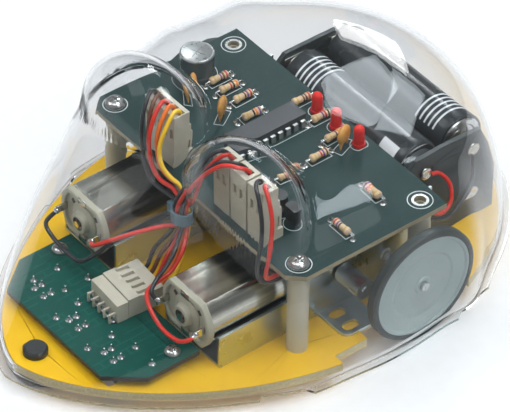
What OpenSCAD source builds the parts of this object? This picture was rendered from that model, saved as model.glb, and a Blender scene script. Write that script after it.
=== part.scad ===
// Line follower robot: two geared wheels, a skid at the nose, a floor sensor board
// and a battery holder on one foam board plate, under a clear lift-off dome.
// The robot faces -Y. The origin is on the floor under the middle of the outline.

/* [Plate] */
// Half width of the plate at its widest
plate_half_w = 53.6; // [52:0.2:54]
// Distance from the widest line to the nose of the plate
plate_front = 83; // [82:0.5:83.2]
// Distance from the widest line to the tail of the plate
plate_rear = 69; // [68:0.5:69.2]
// Thickness of the foam board
plate_t = 3; // [2.6:0.1:3]
// Height of the plate's top face above the floor
plate_top = 8; // [7.8:0.1:8.2]

/* [Main board] */
// Width of the main circuit board
board_w = 90; // [88:0.5:92]
// Length of the main circuit board
board_l = 51; // [50:0.5:52]
// Thickness of both circuit boards
board_t = 1.6; // [1.2:0.1:1.7]
// Height of the main board's top face above the floor
board_top = 37.2; // [37:0.1:37.6]

/* [Drive] */
// Outer radius of a wheel with its tyre
wheel_r = 17.3; // [17:0.1:17.3]
// Width of a tyre
tyre_w = 3.2; // [2.8:0.1:3.4]
// Distance from the middle plane to a wheel's outer face
wheel_out = 50; // [49.6:0.1:50.4]
// Distance from the middle plane to a motor's axis
motor_x = 22.5; // [22.4:0.1:22.6]
// Teeth on the gear fixed to a wheel's axle
axle_teeth = 50; // [50]
// Teeth on the small gear of the idler
idler_teeth = 12; // [12]
// Teeth on the crown of the idler
crown_teeth = 40; // [40]
// Teeth on the motor pinion
motor_teeth = 8; // [8]

/* [Battery] */
// Diameter of a cell
cell_d = 14.5; // [14:0.1:14.5]
// Length of a cell with its button
cell_l = 50.5; // [49.5:0.1:50.5]
// Length of the holder across the robot
holder_l = 57; // [56.5:0.1:57.5]

/* [Dome] */
// Thickness of the clear shell
dome_t = 1; // [0.9:0.05:1]
// Height of the shell's plateau above the floor
dome_h = 54.5; // [54:0.5:58]
// Width of the rim that is turned out all round
rim_w = 2.2; // [1.6:0.1:2.4]

/* [Hidden] */
$fn = 48;
eps = 0.02;

// Heights and the widest line of the outline
plate_bottom = plate_top - plate_t;
board_bottom = board_top - board_t;
wide_y = 7;

// Main board: hole pattern and place
hole_x = 39.84;
hole_front_y = -13.5;
hole_rear_y = 27;
board_y = 6.5;

// Drive: axle, idler and motor places on the left side
axle_y = 21;
axle_r = 1.25;
axle_z = wheel_r;
idler_y = 5.774;
idler_z = 20.2;
idler_r = 1;
motor_z = idler_z;
gear_module = 0.5;
motor_flat = 7.5;
motor_r = 10;
motor_front_y = -35.5;
motor_rear_y = -11;
frame_in = 10.8;
frame_out = 34.2;
sheet = 0.8;
mesh_angle = atan2(idler_z - axle_z, idler_y - axle_y);

// Battery: cell axes
cell_x = 0;
cell_front_y = 38.6;
cell_rear_y = 54.7;
cell_up_z = 32.3;
cell_low_z = 17;
holder_x0 = -holder_l / 2;
holder_y0 = 30.2;
holder_y1 = 63.1;

// Sensor board
sensor_top = 11.5;
sensor_groups = [-14.8, 0.6, 16];

// Outline of the plate, and of everything that follows it, as a closed curve:
// blunt pointed nose, rounder tail; grow moves it outwards
function front_x(a) = pow(abs(cos(a)), 2 / 1.5);
function outline_pt(a, grow) =
  let (w = plate_half_w + grow, f = plate_front + grow, r = plate_rear + grow)
  sin(a) < 0
    ? [w * front_x(a) * sign(cos(a)), wide_y - f * pow(-sin(a), 2 / 1.9)]
    : [w * cos(a), wide_y + r * pow(sin(a), 2 / 2.05)];
function outline(grow, n) = [for (i = [0 : n - 1]) outline_pt(i * 360 / n, grow)];

// Both hands of a piece made for the left side
module both() {
  children();
  mirror([1, 0, 0]) children();
}

module rod_x(x0, x1, y, z, r, fn = 48) {
  translate([x0, y, z]) rotate([0, 90, 0]) cylinder(h = x1 - x0, r = r, $fn = fn);
}

module rod_y(x, y0, y1, z, r, fn = 48) {
  translate([x, y0, z]) rotate([-90, 0, 0]) cylinder(h = y1 - y0, r = r, $fn = fn);
}

module block(x0, x1, y0, y1, z0, z1) {
  translate([x0, y0, z0]) cube([x1 - x0, y1 - y0, z1 - z0]);
}

// ---------------------------------------------------------------- plate and skids

skid_front_y = -69.5;
skid_rear_y = 69;
skid_hole_r = 2.05;
screw_hole_r = 1.6;
sensor_screw_x = 24.8;
sensor_screw_y = -43.2;
sensor_screw_r = 1.3;
frame_screw_x = 17;
frame_screw_y = 26;
switch_x = 13;
switch_y = 68.2;

module base_plate() color("gold") {
  difference() {
    translate([0, 0, plate_bottom])
      linear_extrude(height = plate_t) polygon(outline(0, 96));
    // wheel slots, open to the sides, with the shallow step in front of each wheel
    both() {
      block(44, 60, 3, 39, 0, 20);
      block(48.6, 60, -8, 4, 0, 20);
    }
    // windows under the gears
    both() block(23.6, 33.2, -7.6, 35, 0, 20);
    // window over the floor sensors
    block(-21, 22, -62, -50, 0, 20);
    for (y = [skid_front_y, skid_rear_y])
      translate([0, y, 0]) cylinder(h = 20, r = skid_hole_r);
    both() for (y = [hole_front_y, hole_rear_y])
      translate([hole_x, y, 0]) cylinder(h = 20, r = screw_hole_r);
    both() translate([sensor_screw_x, sensor_screw_y, 0]) cylinder(h = 20, r = sensor_screw_r);
    both() translate([frame_screw_x, frame_screw_y, 0]) cylinder(h = 20, r = screw_hole_r);
    block(switch_x - 3, switch_x + 3, switch_y - 1.3, switch_y + 1.3, 0, 20);
  }
}

// Round push-in skid: flat head, shank through the plate, domed glide under it
module skid(y) {
  head_r = 3.4;
  glide_r = 6;
  glide_flat = 3;
  translate([0, y, 0]) rotate_extrude($fn = 64) polygon([
    [0, 0], [glide_flat, 0], [4.4, 0.5], [5.4, 1.5], [glide_r, 3], [glide_r, plate_bottom],
    [2, plate_bottom], [2, plate_top], [head_r, plate_top], [head_r, plate_top + 1.4],
    [head_r - 0.6, plate_top + 2], [0, plate_top + 2]]);
}

module front_skid() color("#202422") skid(skid_front_y);
module rear_skid() color("#202422") skid(skid_rear_y);

// ---------------------------------------------------------------- main board

module main_board() color("#22383a") {
  corner = 4;
  w = board_w / 2;
  y0 = board_y - board_l / 2;
  y1 = board_y + board_l / 2;
  difference() {
    translate([0, 0, board_bottom]) linear_extrude(height = board_t)
      polygon([[-w, y0 + corner], [corner - w, y0], [w - corner, y0], [w, y0 + corner], [w, y1], [-w, y1]]);
    both() for (y = [hole_front_y, hole_rear_y])
      translate([hole_x, y, 30]) cylinder(h = 10, r = screw_hole_r);
  }
}

chip_x = -4.8;
chip_y0 = -1;
pitch = 2.54;

module control_chip() color("#26292b") {
  chip_w = 6.4;
  chip_l = 22.9;
  block(chip_x - chip_w / 2, chip_x + chip_w / 2, chip_y0, chip_y0 + chip_l,
    board_top + 0.6, board_top + 4);
  for (i = [0 : 8], side = [-1, 1])
    let (px = chip_x + side * 3.81, py = chip_y0 + 1.3 + i * pitch) {
      block(px - 0.15, px + 0.15, py - 0.7, py + 0.7, board_top, board_top + 2.3);
      block(min(px, chip_x + side * 3.1), max(px, chip_x + side * 3.1), py - 0.7, py + 0.7,
        board_top + 2, board_top + 2.3);
    }
}

// Resistors: [x, y, turn], the body lies along Y at turn 0
resistor_places = [[-30, 14.4, 0], [-25.4, 14.3, 0], [-20, 14.9, 0], [-12.7, 12.3, 0],
  [-9.4, 26.6, 0], [-0.8, 26.4, 0], [7.4, 24.4, 0], [11.1, 16.2, 0], [11.3, 6.2, 0],
  [30.5, 18.7, 90], [36.5, 3.4, 90]];

module resistor(half = 3.1, r = 1.1) {
  lead_r = 0.3;
  reach = 4.6;
  lift = 1.2;
  translate([0, 0, lift]) {
    for (s = [-1, 1]) translate([0, s * (half - 0.8), 0]) rotate([90, 0, 0])
      cylinder(h = 1.6, r = r, center = true, $fn = 24);
    rotate([90, 0, 0]) cylinder(h = 2 * half - 1.6, r = r * 0.86, center = true, $fn = 24);
    rotate([90, 0, 0]) cylinder(h = 2 * reach, r = lead_r, center = true, $fn = 16);
  }
  for (s = [-1, 1]) translate([0, s * reach, 0]) cylinder(h = lift + lead_r, r = lead_r, $fn = 16);
}

module resistors() color("tan")
  for (p = resistor_places)
    translate([p[0], p[1], board_top]) rotate([0, 0, p[2]]) resistor();

disc_places = [[-29.8, 5.4, 50], [-17.7, 6, 35], [11.4, 24.4, 20]];

module disc_capacitor(r = 2.9) {
  translate([0, 0, r + 1.2]) rotate([0, 90, 0]) cylinder(h = 2.2, r = r, center = true, $fn = 32);
  for (s = [-1, 1]) translate([0, s * 1.6, 0]) cylinder(h = 3, r = 0.3, $fn = 16);
}

module disc_capacitors() color("peru")
  for (p = disc_places)
    translate([p[0], p[1], board_top]) rotate([0, 0, p[2]]) disc_capacitor();

module buffer_capacitor() color("#3a4a4c")
  translate([-36, 11.6, board_top]) rotate_extrude($fn = 48)
    polygon([[0, 0], [4.8, 0], [4.8, 1.2], [4.5, 1.6], [4.5, 2], [4.8, 2.4], [4.8, 7.6],
      [4.4, 8], [0, 8]]);

led_places = [[-3.9, 27.6], [4.2, 27.6], [13.4, 28]];

module status_leds() color("red")
  for (p = led_places) translate([p[0], p[1], board_top]) rotate_extrude($fn = 32)
    polygon(concat([[0, 0], [1.9, 0], [1.9, 1], [1.5, 1], [1.5, 5.2]],
      [for (a = [15 : 15 : 90]) [1.5 * cos(a), 5.2 + 1.5 * sin(a)]]));

module transistors() color("#222628")
  for (x = [9, 15, 21, 27]) translate([x, -4.6, board_top + 1.5])
    difference() {
      cylinder(h = 4.6, r = 2.4, $fn = 32);
      translate([-3, -4.5, -1]) cube([6, 3, 7]);
    }

// ---------------------------------------------------------------- plugs on the main board

header_h = 3.2;
header_l = 6;
plug_top = 55;
plug_front_y = -16.8;
sensor_plug_x0 = -21.5;
supply_centres = [11.3, 18.5, 25.7];
supply_w = 6.6;

// Plug housing with a contact window for each way in its front face
module plug(w, ways) {
  depth = header_l;
  z0 = board_top + header_h;
  difference() {
    union() {
      translate([0, 0, z0]) cube([w, depth - 1, plug_top - z0]);
      translate([0.4, depth - 1 - eps, z0 + 4]) cube([w - 0.8, 1, 5.5]);
    }
    for (i = [0 : ways - 1])
      let (x = w / 2 + (i - (ways - 1) / 2) * pitch) {
        translate([x - 0.75, -1, z0 + 6.5]) cube([1.5, 1.7, 3.4]);
        translate([x - 0.85, depth - 4.2, plug_top - 2]) cube([1.7, 2, 4]);
      }
  }
}

// Header base with a low friction wall behind the plug and the tips of its pins
module header(w, ways) {
  difference() {
    translate([0, 0, board_top]) cube([w, header_l + 0.9, header_h]);
    translate([0.6, 0.6, board_top + 0.9]) cube([w - 1.2, header_l - 1.8, 10]);
  }
  translate([0.8, header_l + 0.1, board_top + header_h - eps]) cube([w - 1.6, 0.8, 6.5]);
  for (i = [0 : ways - 1])
    translate([w / 2 + (i - (ways - 1) / 2) * pitch - 0.3, 2.2, board_top + 0.5])
      cube([0.6, 0.6, header_h - 0.55]);
}

module sensor_header() color("#d8d2bc")
  translate([sensor_plug_x0, plug_front_y, 0]) header(5 * pitch, 5);
module sensor_plug() color("#cfc9b4")
  translate([sensor_plug_x0, plug_front_y, 0]) plug(5 * pitch, 5);
module supply_headers() color("#d8d2bc")
  for (x = supply_centres)
    translate([x - supply_w / 2, plug_front_y, 0]) header(supply_w, 2);
module supply_plugs() color("#cfc9b4")
  for (x = supply_centres)
    translate([x - supply_w / 2, plug_front_y, 0]) plug(supply_w, 2);

// ---------------------------------------------------------------- standoffs and screws

standoff_r = 2.9;
thread_r = 1.25;
shank_r = 1.2;

module standoffs() color("#b8b5a4")
  both() for (y = [hole_front_y, hole_rear_y]) translate([hole_x, y, 0]) difference() {
    translate([0, 0, plate_top]) cylinder(h = board_bottom - plate_top, r = standoff_r);
    translate([0, 0, plate_top - 1]) cylinder(h = 9, r = thread_r);
    translate([0, 0, board_bottom - 8]) cylinder(h = 9, r = thread_r);
  }

// Pan head screw whose seat is at z = 0 with the shank going down
module screw(shank) {
  translate([0, 0, -shank]) cylinder(h = shank + eps, r = shank_r, $fn = 32);
  difference() {
    rotate_extrude($fn = 40) polygon([[0, 0], [2.9, 0], [2.8, 0.9], [2.2, 1.6], [1.2, 2], [0, 2.1]]);
    for (a = [0, 90]) rotate([0, 0, a]) translate([-1.6, -0.3, 1]) cube([3.2, 0.6, 2]);
  }
}

module board_screws() color("silver") {
  both() translate([hole_x, hole_front_y, board_top]) screw(6);
  both() translate([sensor_screw_x, sensor_screw_y, sensor_top]) scale(0.82) screw(10.4);
}

module underside_screws() color("silver") {
  both() for (y = [hole_front_y, hole_rear_y])
    translate([hole_x, y, plate_bottom]) rotate([180, 0, 0]) screw(8);
  both() translate([frame_screw_x, frame_screw_y, plate_bottom]) rotate([180, 0, 0]) screw(plate_t + sheet);
}

// ---------------------------------------------------------------- floor sensor board

module sensor_board() color("#1e6a55") {
  difference() {
    translate([0, 0, sensor_top - board_t]) linear_extrude(height = board_t)
      polygon([[-28.5, -54], [-20.5, -63.5], [20.5, -63.5], [28.5, -54], [28.5, -37], [-28.5, -37]]);
    both() translate([sensor_screw_x, sensor_screw_y, 0]) cylinder(h = 20, r = sensor_screw_r);
  }
}

module sensor_spacers() color("#c8c8c0")
  both() translate([sensor_screw_x, sensor_screw_y, plate_top]) difference() {
    cylinder(h = sensor_top - board_t - plate_top, r = 2.4);
    translate([0, 0, -1]) cylinder(h = 6, r = sensor_screw_r);
  }

module infrared_emitters() color("#b8b8d0")
  for (g = sensor_groups) translate([g - 2.5, -56.2, 0]) lamp();
module phototransistors() color("#302838")
  for (g = sensor_groups) translate([g + 2.5, -56.2, 0]) lamp();

// 3 mm lamp pointing at the floor, its rim just under the sensor board
module lamp() {
  seat = sensor_top - board_t;
  rotate_extrude($fn = 32) polygon(concat(
    [for (a = [-90 : 15 : 0]) [1.5 * cos(a), 4.6 + 1.5 * sin(a)]],
    [[1.5, seat - 1], [1.9, seat - 1], [1.9, seat], [0, seat]]));
}

joint_places = concat(
  [for (g = sensor_groups, dx = [-2.05, 2.05], dy = [-57.4, -55]) [g + dx, dy]],
  [[-19.5, -47.9], [-19.6, -55.7], [-11.6, -51.3], [-11.4, -43.7], [-7, -44.9], [-4.3, -59.5],
   [-5.3, -51.6], [10.1, -59.9], [10.1, -52], [17.3, -49.6], [24.9, -50]]);

module solder_joints() color("silver")
  for (p = joint_places) translate([p[0], p[1], sensor_top]) rotate_extrude($fn = 24)
    polygon([[0, 0], [1, 0], [0.6, 0.35], [0.35, 0.9], [0.25, 1.5], [0, 1.6]]);

lie_x0 = -5.05;
lie_w = 5 * pitch;
lie_turn = -4;
lie_y = -44;

module lying() {
  translate([lie_x0 + lie_w / 2, lie_y, 0]) rotate([0, 0, lie_turn])
    translate([-lie_w / 2, 0, 0]) children();
}

// Right-angle header: block with a locking ridge, pins bent down to the board
module sensor_board_header() color("#d8d2bc") lying() {
  translate([0, -3.6, sensor_top]) cube([lie_w, 3.5, 6]);
  for (i = [0 : 4]) translate([lie_w / 2 + (i - 2) * pitch - 0.3, 0, 0]) {
    translate([0, -5.6, sensor_top + 2.4]) cube([0.6, 2.1, 0.6]);
    translate([0, -5.6, sensor_top]) cube([0.6, 0.6, 2.5]);
  }
}

module sensor_board_plug() color("#cfc9b4") lying() {
  difference() {
    union() {
      translate([0, 0, sensor_top + 0.1]) cube([lie_w, 11, 6]);
      translate([0, 0, sensor_top + 6]) cube([lie_w, 4, 0.5]);
    }
    for (i = [0 : 4]) {
      x = lie_w / 2 + (i - 2) * pitch;
      translate([x - 0.6, 3.4, sensor_top + 5]) cube([1.2, 4, 4]);
      translate([x - 0.9, 9.4, sensor_top + 2.1]) cube([1.8, 4, 2]);
    }
  }
}

// ---------------------------------------------------------------- battery holder and cells

wall = 1.5;
web_z0 = 24.3;
web_t = 0.7;
holder_z1 = 38;
cell_shift = 1.3;
side_low = 19;
side_high = 31;

module battery_holder() color("#1c2423") {
  difference() {
    block(holder_x0, -holder_x0, holder_y0, holder_y1, plate_top, holder_z1);
    // upper and lower trays
    for (z = [[web_z0 + web_t, holder_z1 + 1], [plate_top - 1, web_z0]])
      block(holder_x0 + wall, -holder_x0 - wall, holder_y0 + wall - 0.6, holder_y1 - wall + 0.6,
        z[0], z[1]);
    // long sides cut down between the end posts
    block(holder_x0 + 7, -holder_x0 - 7, 0, 80, side_high, holder_z1 + 1);
    block(holder_x0 + 7, -holder_x0 - 7, 0, 80, plate_top - 1, side_low);
    // sloping shoulders on the end walls, steep at the tail to clear the shell
    translate([-40, 0, 0]) rotate([90, 0, 90]) linear_extrude(height = 80) {
      polygon([[holder_y0 - 1, holder_z1 - 6], [holder_y0 + 6, holder_z1 + 1], [holder_y0 - 1, 40]]);
      polygon([[56.6, 40], [57.2, 37.6], [60, 32], [62, 26], [64, 20], [64, 40]]);
    }
    // rivet holes
    for (m = [0, 1]) mirror([m, 0, 0]) for (y = [cell_front_y, cell_rear_y], z = [cell_up_z, cell_low_z])
      rod_x(20, 40, y, z, 1.2);
  }
}

// Cell along X with its button towards +X, centred on its body
module cell(y, z, turned) {
  r = cell_d / 2;
  h = cell_l / 2;
  translate([turned ? -cell_shift : cell_shift, y, z]) rotate([0, turned ? -90 : 90, 0])
    rotate_extrude($fn = 64) polygon([
      [0, -h + 0.3], [4.6, -h + 0.3], [4.6, -h], [6.3, -h], [6.6, -h + 0.5], [r, -h + 0.5],
      [r, h - 2], [r - 0.4, h - 1.6], [r - 0.9, h - 1.4], [2.9, h - 1.4], [2.75, h], [0, h]]);
}

module upper_cells() color("#2b302f") {
  cell(cell_front_y, cell_up_z, false);
  cell(cell_rear_y, cell_up_z, true);
}

module lower_cells() color("#2b302f") {
  cell(cell_front_y, cell_low_z, true);
  cell(cell_rear_y, cell_low_z, false);
}

// [y, z, side] of each place where a cell's flat end meets a spring
spring_places = [[cell_front_y, cell_up_z, -1], [cell_rear_y, cell_up_z, 1],
  [cell_front_y, cell_low_z, 1], [cell_rear_y, cell_low_z, -1]];
end_gap_x = -holder_x0 - wall;
contact_t = 0.3;

// Conical springs, each drawn as stacked rings that narrow towards the cell
module battery_springs() color("silver")
  for (p = spring_places) translate([p[2] * (cell_l / 2 - cell_shift), p[0], p[1]])
    rotate([0, p[2] * 90, 0])
      for (i = [0 : 4]) translate([0, 0, 0.1 + i * 0.5])
        rotate_extrude($fn = 32) translate([2.2 + i * 0.45, 0]) square([0.55, 0.45]);

module battery_contacts() color("#c8b070") {
  for (m = [0, 1]) mirror([m, 0, 0])
    for (y = [cell_front_y, cell_rear_y], z = [cell_up_z, cell_low_z]) {
      block(end_gap_x - contact_t, end_gap_x, y - 4, y + 4, z - 4.5, z + 4);
      rod_x(end_gap_x - eps, end_gap_x + wall, y, z, 1.1);
      translate([end_gap_x + wall, y, z]) rotate([0, 90, 0]) rotate_extrude($fn = 32)
        polygon([[0, 0], [2.1, 0], [2, 0.5], [1.3, 0.8], [0.7, 0.5], [0, 0.5]]);
    }
}

// ---------------------------------------------------------------- drive frames

frame_front_y = -35;
frame_low_z = 18.6;
frame_high_z = 33;
bulk_y = -10.2;
inner_end_y = 29.5;
outer_end_y = 36;
foot_out = 45.6;
bush_r = 2;

module gear_frame() {
  difference() {
    union() {
      // floor
      block(frame_in, frame_out, frame_front_y, inner_end_y, plate_top, plate_top + sheet);
      // low walls beside the motor
      block(frame_in, frame_in + sheet, frame_front_y, bulk_y, plate_top, frame_low_z);
      block(frame_out - sheet, frame_out, frame_front_y, bulk_y, plate_top, frame_low_z);
      // high walls round the gears, joined by the bulkhead behind the motor
      block(frame_in, frame_in + sheet, bulk_y - sheet, inner_end_y, plate_top, frame_high_z);
      block(frame_out - sheet, frame_out, bulk_y - sheet, outer_end_y, plate_top, frame_high_z);
      block(frame_in, frame_out, bulk_y - sheet, bulk_y, plate_top, frame_high_z);
      // foot turned outwards beside the wheel
      difference() {
        block(frame_out - sheet, foot_out, -2, 10, plate_top, plate_top + sheet);
        translate([foot_out - 2.5, -2 + 2.5, 0]) difference() {
          translate([0, -3, 0]) cube([3, 3, 20]);
          translate([0, 0, -1]) cylinder(h = 22, r = 2.5);
        }
      }
    }
    // slots in the foot
    for (x = [37, 42.6]) for (y = [1.1, 3.1]) translate([x, y, 0]) cylinder(h = 20, r = 1.5, $fn = 32);
    for (x = [37, 42.6]) block(x - 1.5, x + 1.5, 1.1, 3.1, 0, 20);
    // window under the gears
    block(23.6, 33.2, -7.6, inner_end_y + 1, 0, plate_top + sheet + eps);
    // motor boss
    rod_y(motor_x, bulk_y - 2, bulk_y + 2, motor_z, 3.1);
    // bush holes
    rod_x(frame_in - 1, frame_out + 1, axle_y, axle_z, bush_r);
    rod_x(frame_in - 1, frame_out + 1, idler_y, idler_z, bush_r);
    translate([frame_screw_x, frame_screw_y, 0]) cylinder(h = 20, r = screw_hole_r);
  }
}

module left_gear_frame() color("#9aa7aa") gear_frame();
module right_gear_frame() color("#9aa7aa") mirror([1, 0, 0]) gear_frame();

// Flanged nylon bush in a wall whose inner face is at x and that lies towards side
module bush(x, side, y, z, bore) {
  difference() {
    union() {
      rod_x(min(x, x + side * 1.2), max(x, x + side * 1.2), y, z, bush_r);
      rod_x(min(x, x - side * 0.5), max(x, x - side * 0.5), y, z, 3);
    }
    rod_x(x - 3, x + 3, y, z, bore);
  }
}

module shaft_bushes() color("ivory") both() {
  bush(frame_out - sheet, 1, axle_y, axle_z, axle_r + 0.05);
  bush(frame_in + sheet, -1, axle_y, axle_z, axle_r + 0.05);
  bush(frame_out - sheet, 1, idler_y, idler_z, idler_r + 0.05);
  bush(frame_in + sheet, -1, idler_y, idler_z, idler_r + 0.05);
}

// ---------------------------------------------------------------- motors

// Flattened round body between y0 and y1
module motor_form(y0, y1, r, flat) {
  intersection() {
    rod_y(motor_x, y0, y1, motor_z, r, 96);
    block(0, 60, y0, y1, motor_z - flat, motor_z + flat);
  }
}

module motor_cans() color("#8d9494") both()
  difference() {
    union() {
      motor_form(motor_front_y, motor_rear_y, motor_r, motor_flat);
      rod_y(motor_x, motor_rear_y - eps, motor_rear_y + 1.4, motor_z, 3);
    }
    motor_form(motor_front_y - 1, motor_rear_y - 1, motor_r - 0.6, motor_flat - 0.6);
    rod_y(motor_x, motor_rear_y - 3, motor_rear_y + 3, motor_z, 1.05);
  }

module motor_end_caps() color("#c2c5b8") both()
  difference() {
    union() {
      motor_form(motor_front_y - 1.8, motor_front_y, motor_r, motor_flat);
      motor_form(motor_front_y, motor_front_y + 1.5, motor_r - 0.62, motor_flat - 0.62);
      rod_y(motor_x, motor_front_y - 3.4, motor_front_y - 1.7, motor_z, 3.1);
    }
    rod_y(motor_x, motor_front_y - 5, motor_front_y + 3, motor_z, 1.05);
    for (s = [-1, 1]) block(motor_x + s * 8 - 0.3, motor_x + s * 8 + 0.3,
      motor_front_y - 3, motor_front_y + 3, motor_z - 1.2, motor_z + 1.2);
  }

module motor_terminals() color("#d8c890") both()
  for (s = [-1, 1])
    block(motor_x + s * 8 - 0.25, motor_x + s * 8 + 0.25,
      motor_front_y - 5, motor_front_y + 1.5, motor_z - 1.15, motor_z + 1.15);

// Three-pole rotor and its shaft
module motor_rotor() {
  rod_y(motor_x, motor_front_y - 3.8, -1.8, motor_z, 1, 32);
  intersection() {
    rod_y(motor_x, -27, -16, motor_z, 6, 48);
    translate([motor_x, 0, motor_z]) rotate([-90, 0, 0]) translate([0, 0, -30])
      for (a = [0, 120, 240]) rotate([0, 0, a]) {
        translate([-1.6, 0, 0]) cube([3.2, 5.5, 20]);
        translate([-4, 4.6, 0]) cube([8, 2, 20]);
      }
  }
  rod_y(motor_x, -33, -29.5, motor_z, 2.2, 32);
}

module left_motor_rotor() color("#b08050") motor_rotor();
module right_motor_rotor() color("#b08050") mirror([1, 0, 0]) motor_rotor();

// ---------------------------------------------------------------- gears

// Flat spur gear outline with straight-flanked teeth, a tooth centred on angle 0
module spur_outline(teeth, tip_cut = 0) {
  rp = teeth * gear_module / 2;
  ro = rp + gear_module * 0.9 - tip_cut;
  ri = rp - gear_module * 1.15;
  step = 360 / teeth;
  root_half = step * 0.30;
  tip_half = step * 0.12;
  polygon([for (i = [0 : teeth - 1]) each [
    ri * [cos(i * step - root_half), sin(i * step - root_half)],
    ro * [cos(i * step - tip_half), sin(i * step - tip_half)],
    ro * [cos(i * step + tip_half), sin(i * step + tip_half)],
    ri * [cos(i * step + root_half), sin(i * step + root_half)]]]);
}

// Spur gear on an X axis; phase is the angle from +Y towards +Z of one tooth
module spur_x(x0, x1, y, z, teeth, phase) {
  translate([x0, y, z]) rotate([phase, 0, 0])
    rotate([90, 0, 90]) linear_extrude(height = x1 - x0) spur_outline(teeth);
}

axle_gear_x0 = 29.2;
axle_gear_x1 = 32.2;

module axle_gear() difference() {
  union() {
    spur_x(axle_gear_x0, axle_gear_x1, axle_y, axle_z, axle_teeth, mesh_angle);
    rod_x(26.5, axle_gear_x0 + eps, axle_y, axle_z, 3);
  }
  rod_x(20, 40, axle_y, axle_z, axle_r);
}

crown_tip_x = motor_x + 1.87;
crown_root_x = motor_x + 2.6;
crown_back_x = 26.6;
crown_in_r = 8;
crown_out_r = 12;

module idler_gear() difference() {
  union() {
    rod_x(crown_root_x, crown_back_x, idler_y, idler_z, crown_out_r, 96);
    for (i = [0 : crown_teeth - 1]) translate([0, idler_y, idler_z])
      rotate([180 + i * 360 / crown_teeth, 0, 0])
        translate([0, crown_in_r, 0]) rotate([90, 0, 90]) translate([0, 0, crown_tip_x])
          linear_extrude(height = crown_root_x - crown_tip_x + eps)
            polygon([[0, -0.24], [crown_out_r - crown_in_r - 0.1, -0.36],
              [crown_out_r - crown_in_r - 0.1, 0.36], [0, 0.24]]);
    spur_x(crown_back_x - eps, 32.6, idler_y, idler_z, idler_teeth,
      mesh_angle + 180 + 180 / idler_teeth);
    rod_x(22.9, crown_root_x + eps, idler_y, idler_z, 2.6);
  }
  rod_x(20, 40, idler_y, idler_z, idler_r);
}

pinion_y0 = -6.3;
pinion_y1 = -2.4;

// Pinion on the motor shaft with a gap facing the crown
module motor_pinion() difference() {
  translate([motor_x, pinion_y0, motor_z]) rotate([0, 180 / motor_teeth, 0])
    rotate([-90, 0, 0]) linear_extrude(height = pinion_y1 - pinion_y0)
      spur_outline(motor_teeth, 0.05);
  rod_y(motor_x, -10, 2, motor_z, 1, 32);
}

module left_axle_gear() color("#e8e4d4") axle_gear();
module right_axle_gear() color("#e8e4d4") mirror([1, 0, 0]) axle_gear();
module left_idler_gear() color("#e8e4d4") idler_gear();
module right_idler_gear() color("#e8e4d4") mirror([1, 0, 0]) idler_gear();
module left_motor_pinion() color("#d8c070") motor_pinion();
module right_motor_pinion() color("#d8c070") mirror([1, 0, 0]) motor_pinion();

// Idler shaft with its long white sleeve outside the frame
module idler_shaft() {
  sleeve_x0 = frame_out + 0.7;
  sleeve_x1 = 44;
  rod_x(frame_in - 0.8, sleeve_x1 + 0.3, idler_y, idler_z, idler_r);
  difference() {
    rod_x(sleeve_x0, sleeve_x1, idler_y, idler_z, 3);
    rod_x(sleeve_x0 - 1, sleeve_x1 + 1, idler_y, idler_z, idler_r - eps);
  }
}

module left_idler_shaft() color("#d4d4cc") idler_shaft();
module right_idler_shaft() color("#d4d4cc") mirror([1, 0, 0]) idler_shaft();

// ---------------------------------------------------------------- wheels

disc_r = wheel_r - 1.2;
tyre_in = wheel_out - tyre_w;

module wheel_disc() difference() {
  translate([0, axle_y, axle_z]) rotate([0, 90, 0]) rotate_extrude($fn = 96) polygon([
    [0, 43.6], [3.2, 43.6], [3.2, 47.6], [disc_r - 1.6, 47.6], [disc_r - 1.2, 47],
    [disc_r, 47], [disc_r, wheel_out - 0.2], [disc_r - 1.2, wheel_out - 0.2],
    [disc_r - 1.6, wheel_out - 0.7], [10.4, wheel_out - 0.7], [9.8, wheel_out - 1.1],
    [2.6, wheel_out - 1.1], [2.4, wheel_out - 0.5], [0, wheel_out - 0.5]]);
  rod_x(40, 60, axle_y, axle_z, axle_r);
}

module tyre() translate([0, axle_y, axle_z]) rotate([0, 90, 0]) rotate_extrude($fn = 96)
  polygon([[disc_r, tyre_in + 0.2], [wheel_r - 0.5, tyre_in], [wheel_r, tyre_in + 0.5],
    [wheel_r, wheel_out - 0.5], [wheel_r - 0.5, wheel_out], [disc_r - 0.5, wheel_out],
    [disc_r - 0.5, wheel_out - 0.2], [disc_r, wheel_out - 0.2]]);

module axle() rod_x(frame_in - 0.8, wheel_out + 0.4, axle_y, axle_z, axle_r);

module left_wheel_disc() color("#aebbb8") wheel_disc();
module right_wheel_disc() color("#aebbb8") mirror([1, 0, 0]) wheel_disc();
module left_tyre() color("#20262a") tyre();
module right_tyre() color("#20262a") mirror([1, 0, 0]) tyre();
module left_axle() color("silver") axle();
module right_axle() color("silver") mirror([1, 0, 0]) axle();

// ---------------------------------------------------------------- switch under the tail

switch_travel = 2;

module switch_body() color("#a8acac") difference() {
  block(switch_x - 4.3, switch_x + 4.3, switch_y - 1.9, switch_y + 1.9, plate_top, plate_top + 3.6);
  block(switch_x - 2.5, switch_x + 2.5, switch_y - 1.1, switch_y + 1.1,
    plate_top - 1, plate_top + 2.4);
}

module switch_slider() color("#1c1c1c") {
  block(switch_x - 2.2, switch_x + 0.2, switch_y - 1, switch_y + 1, 3.4, plate_top + 2);
}

// ---------------------------------------------------------------- wires

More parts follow.
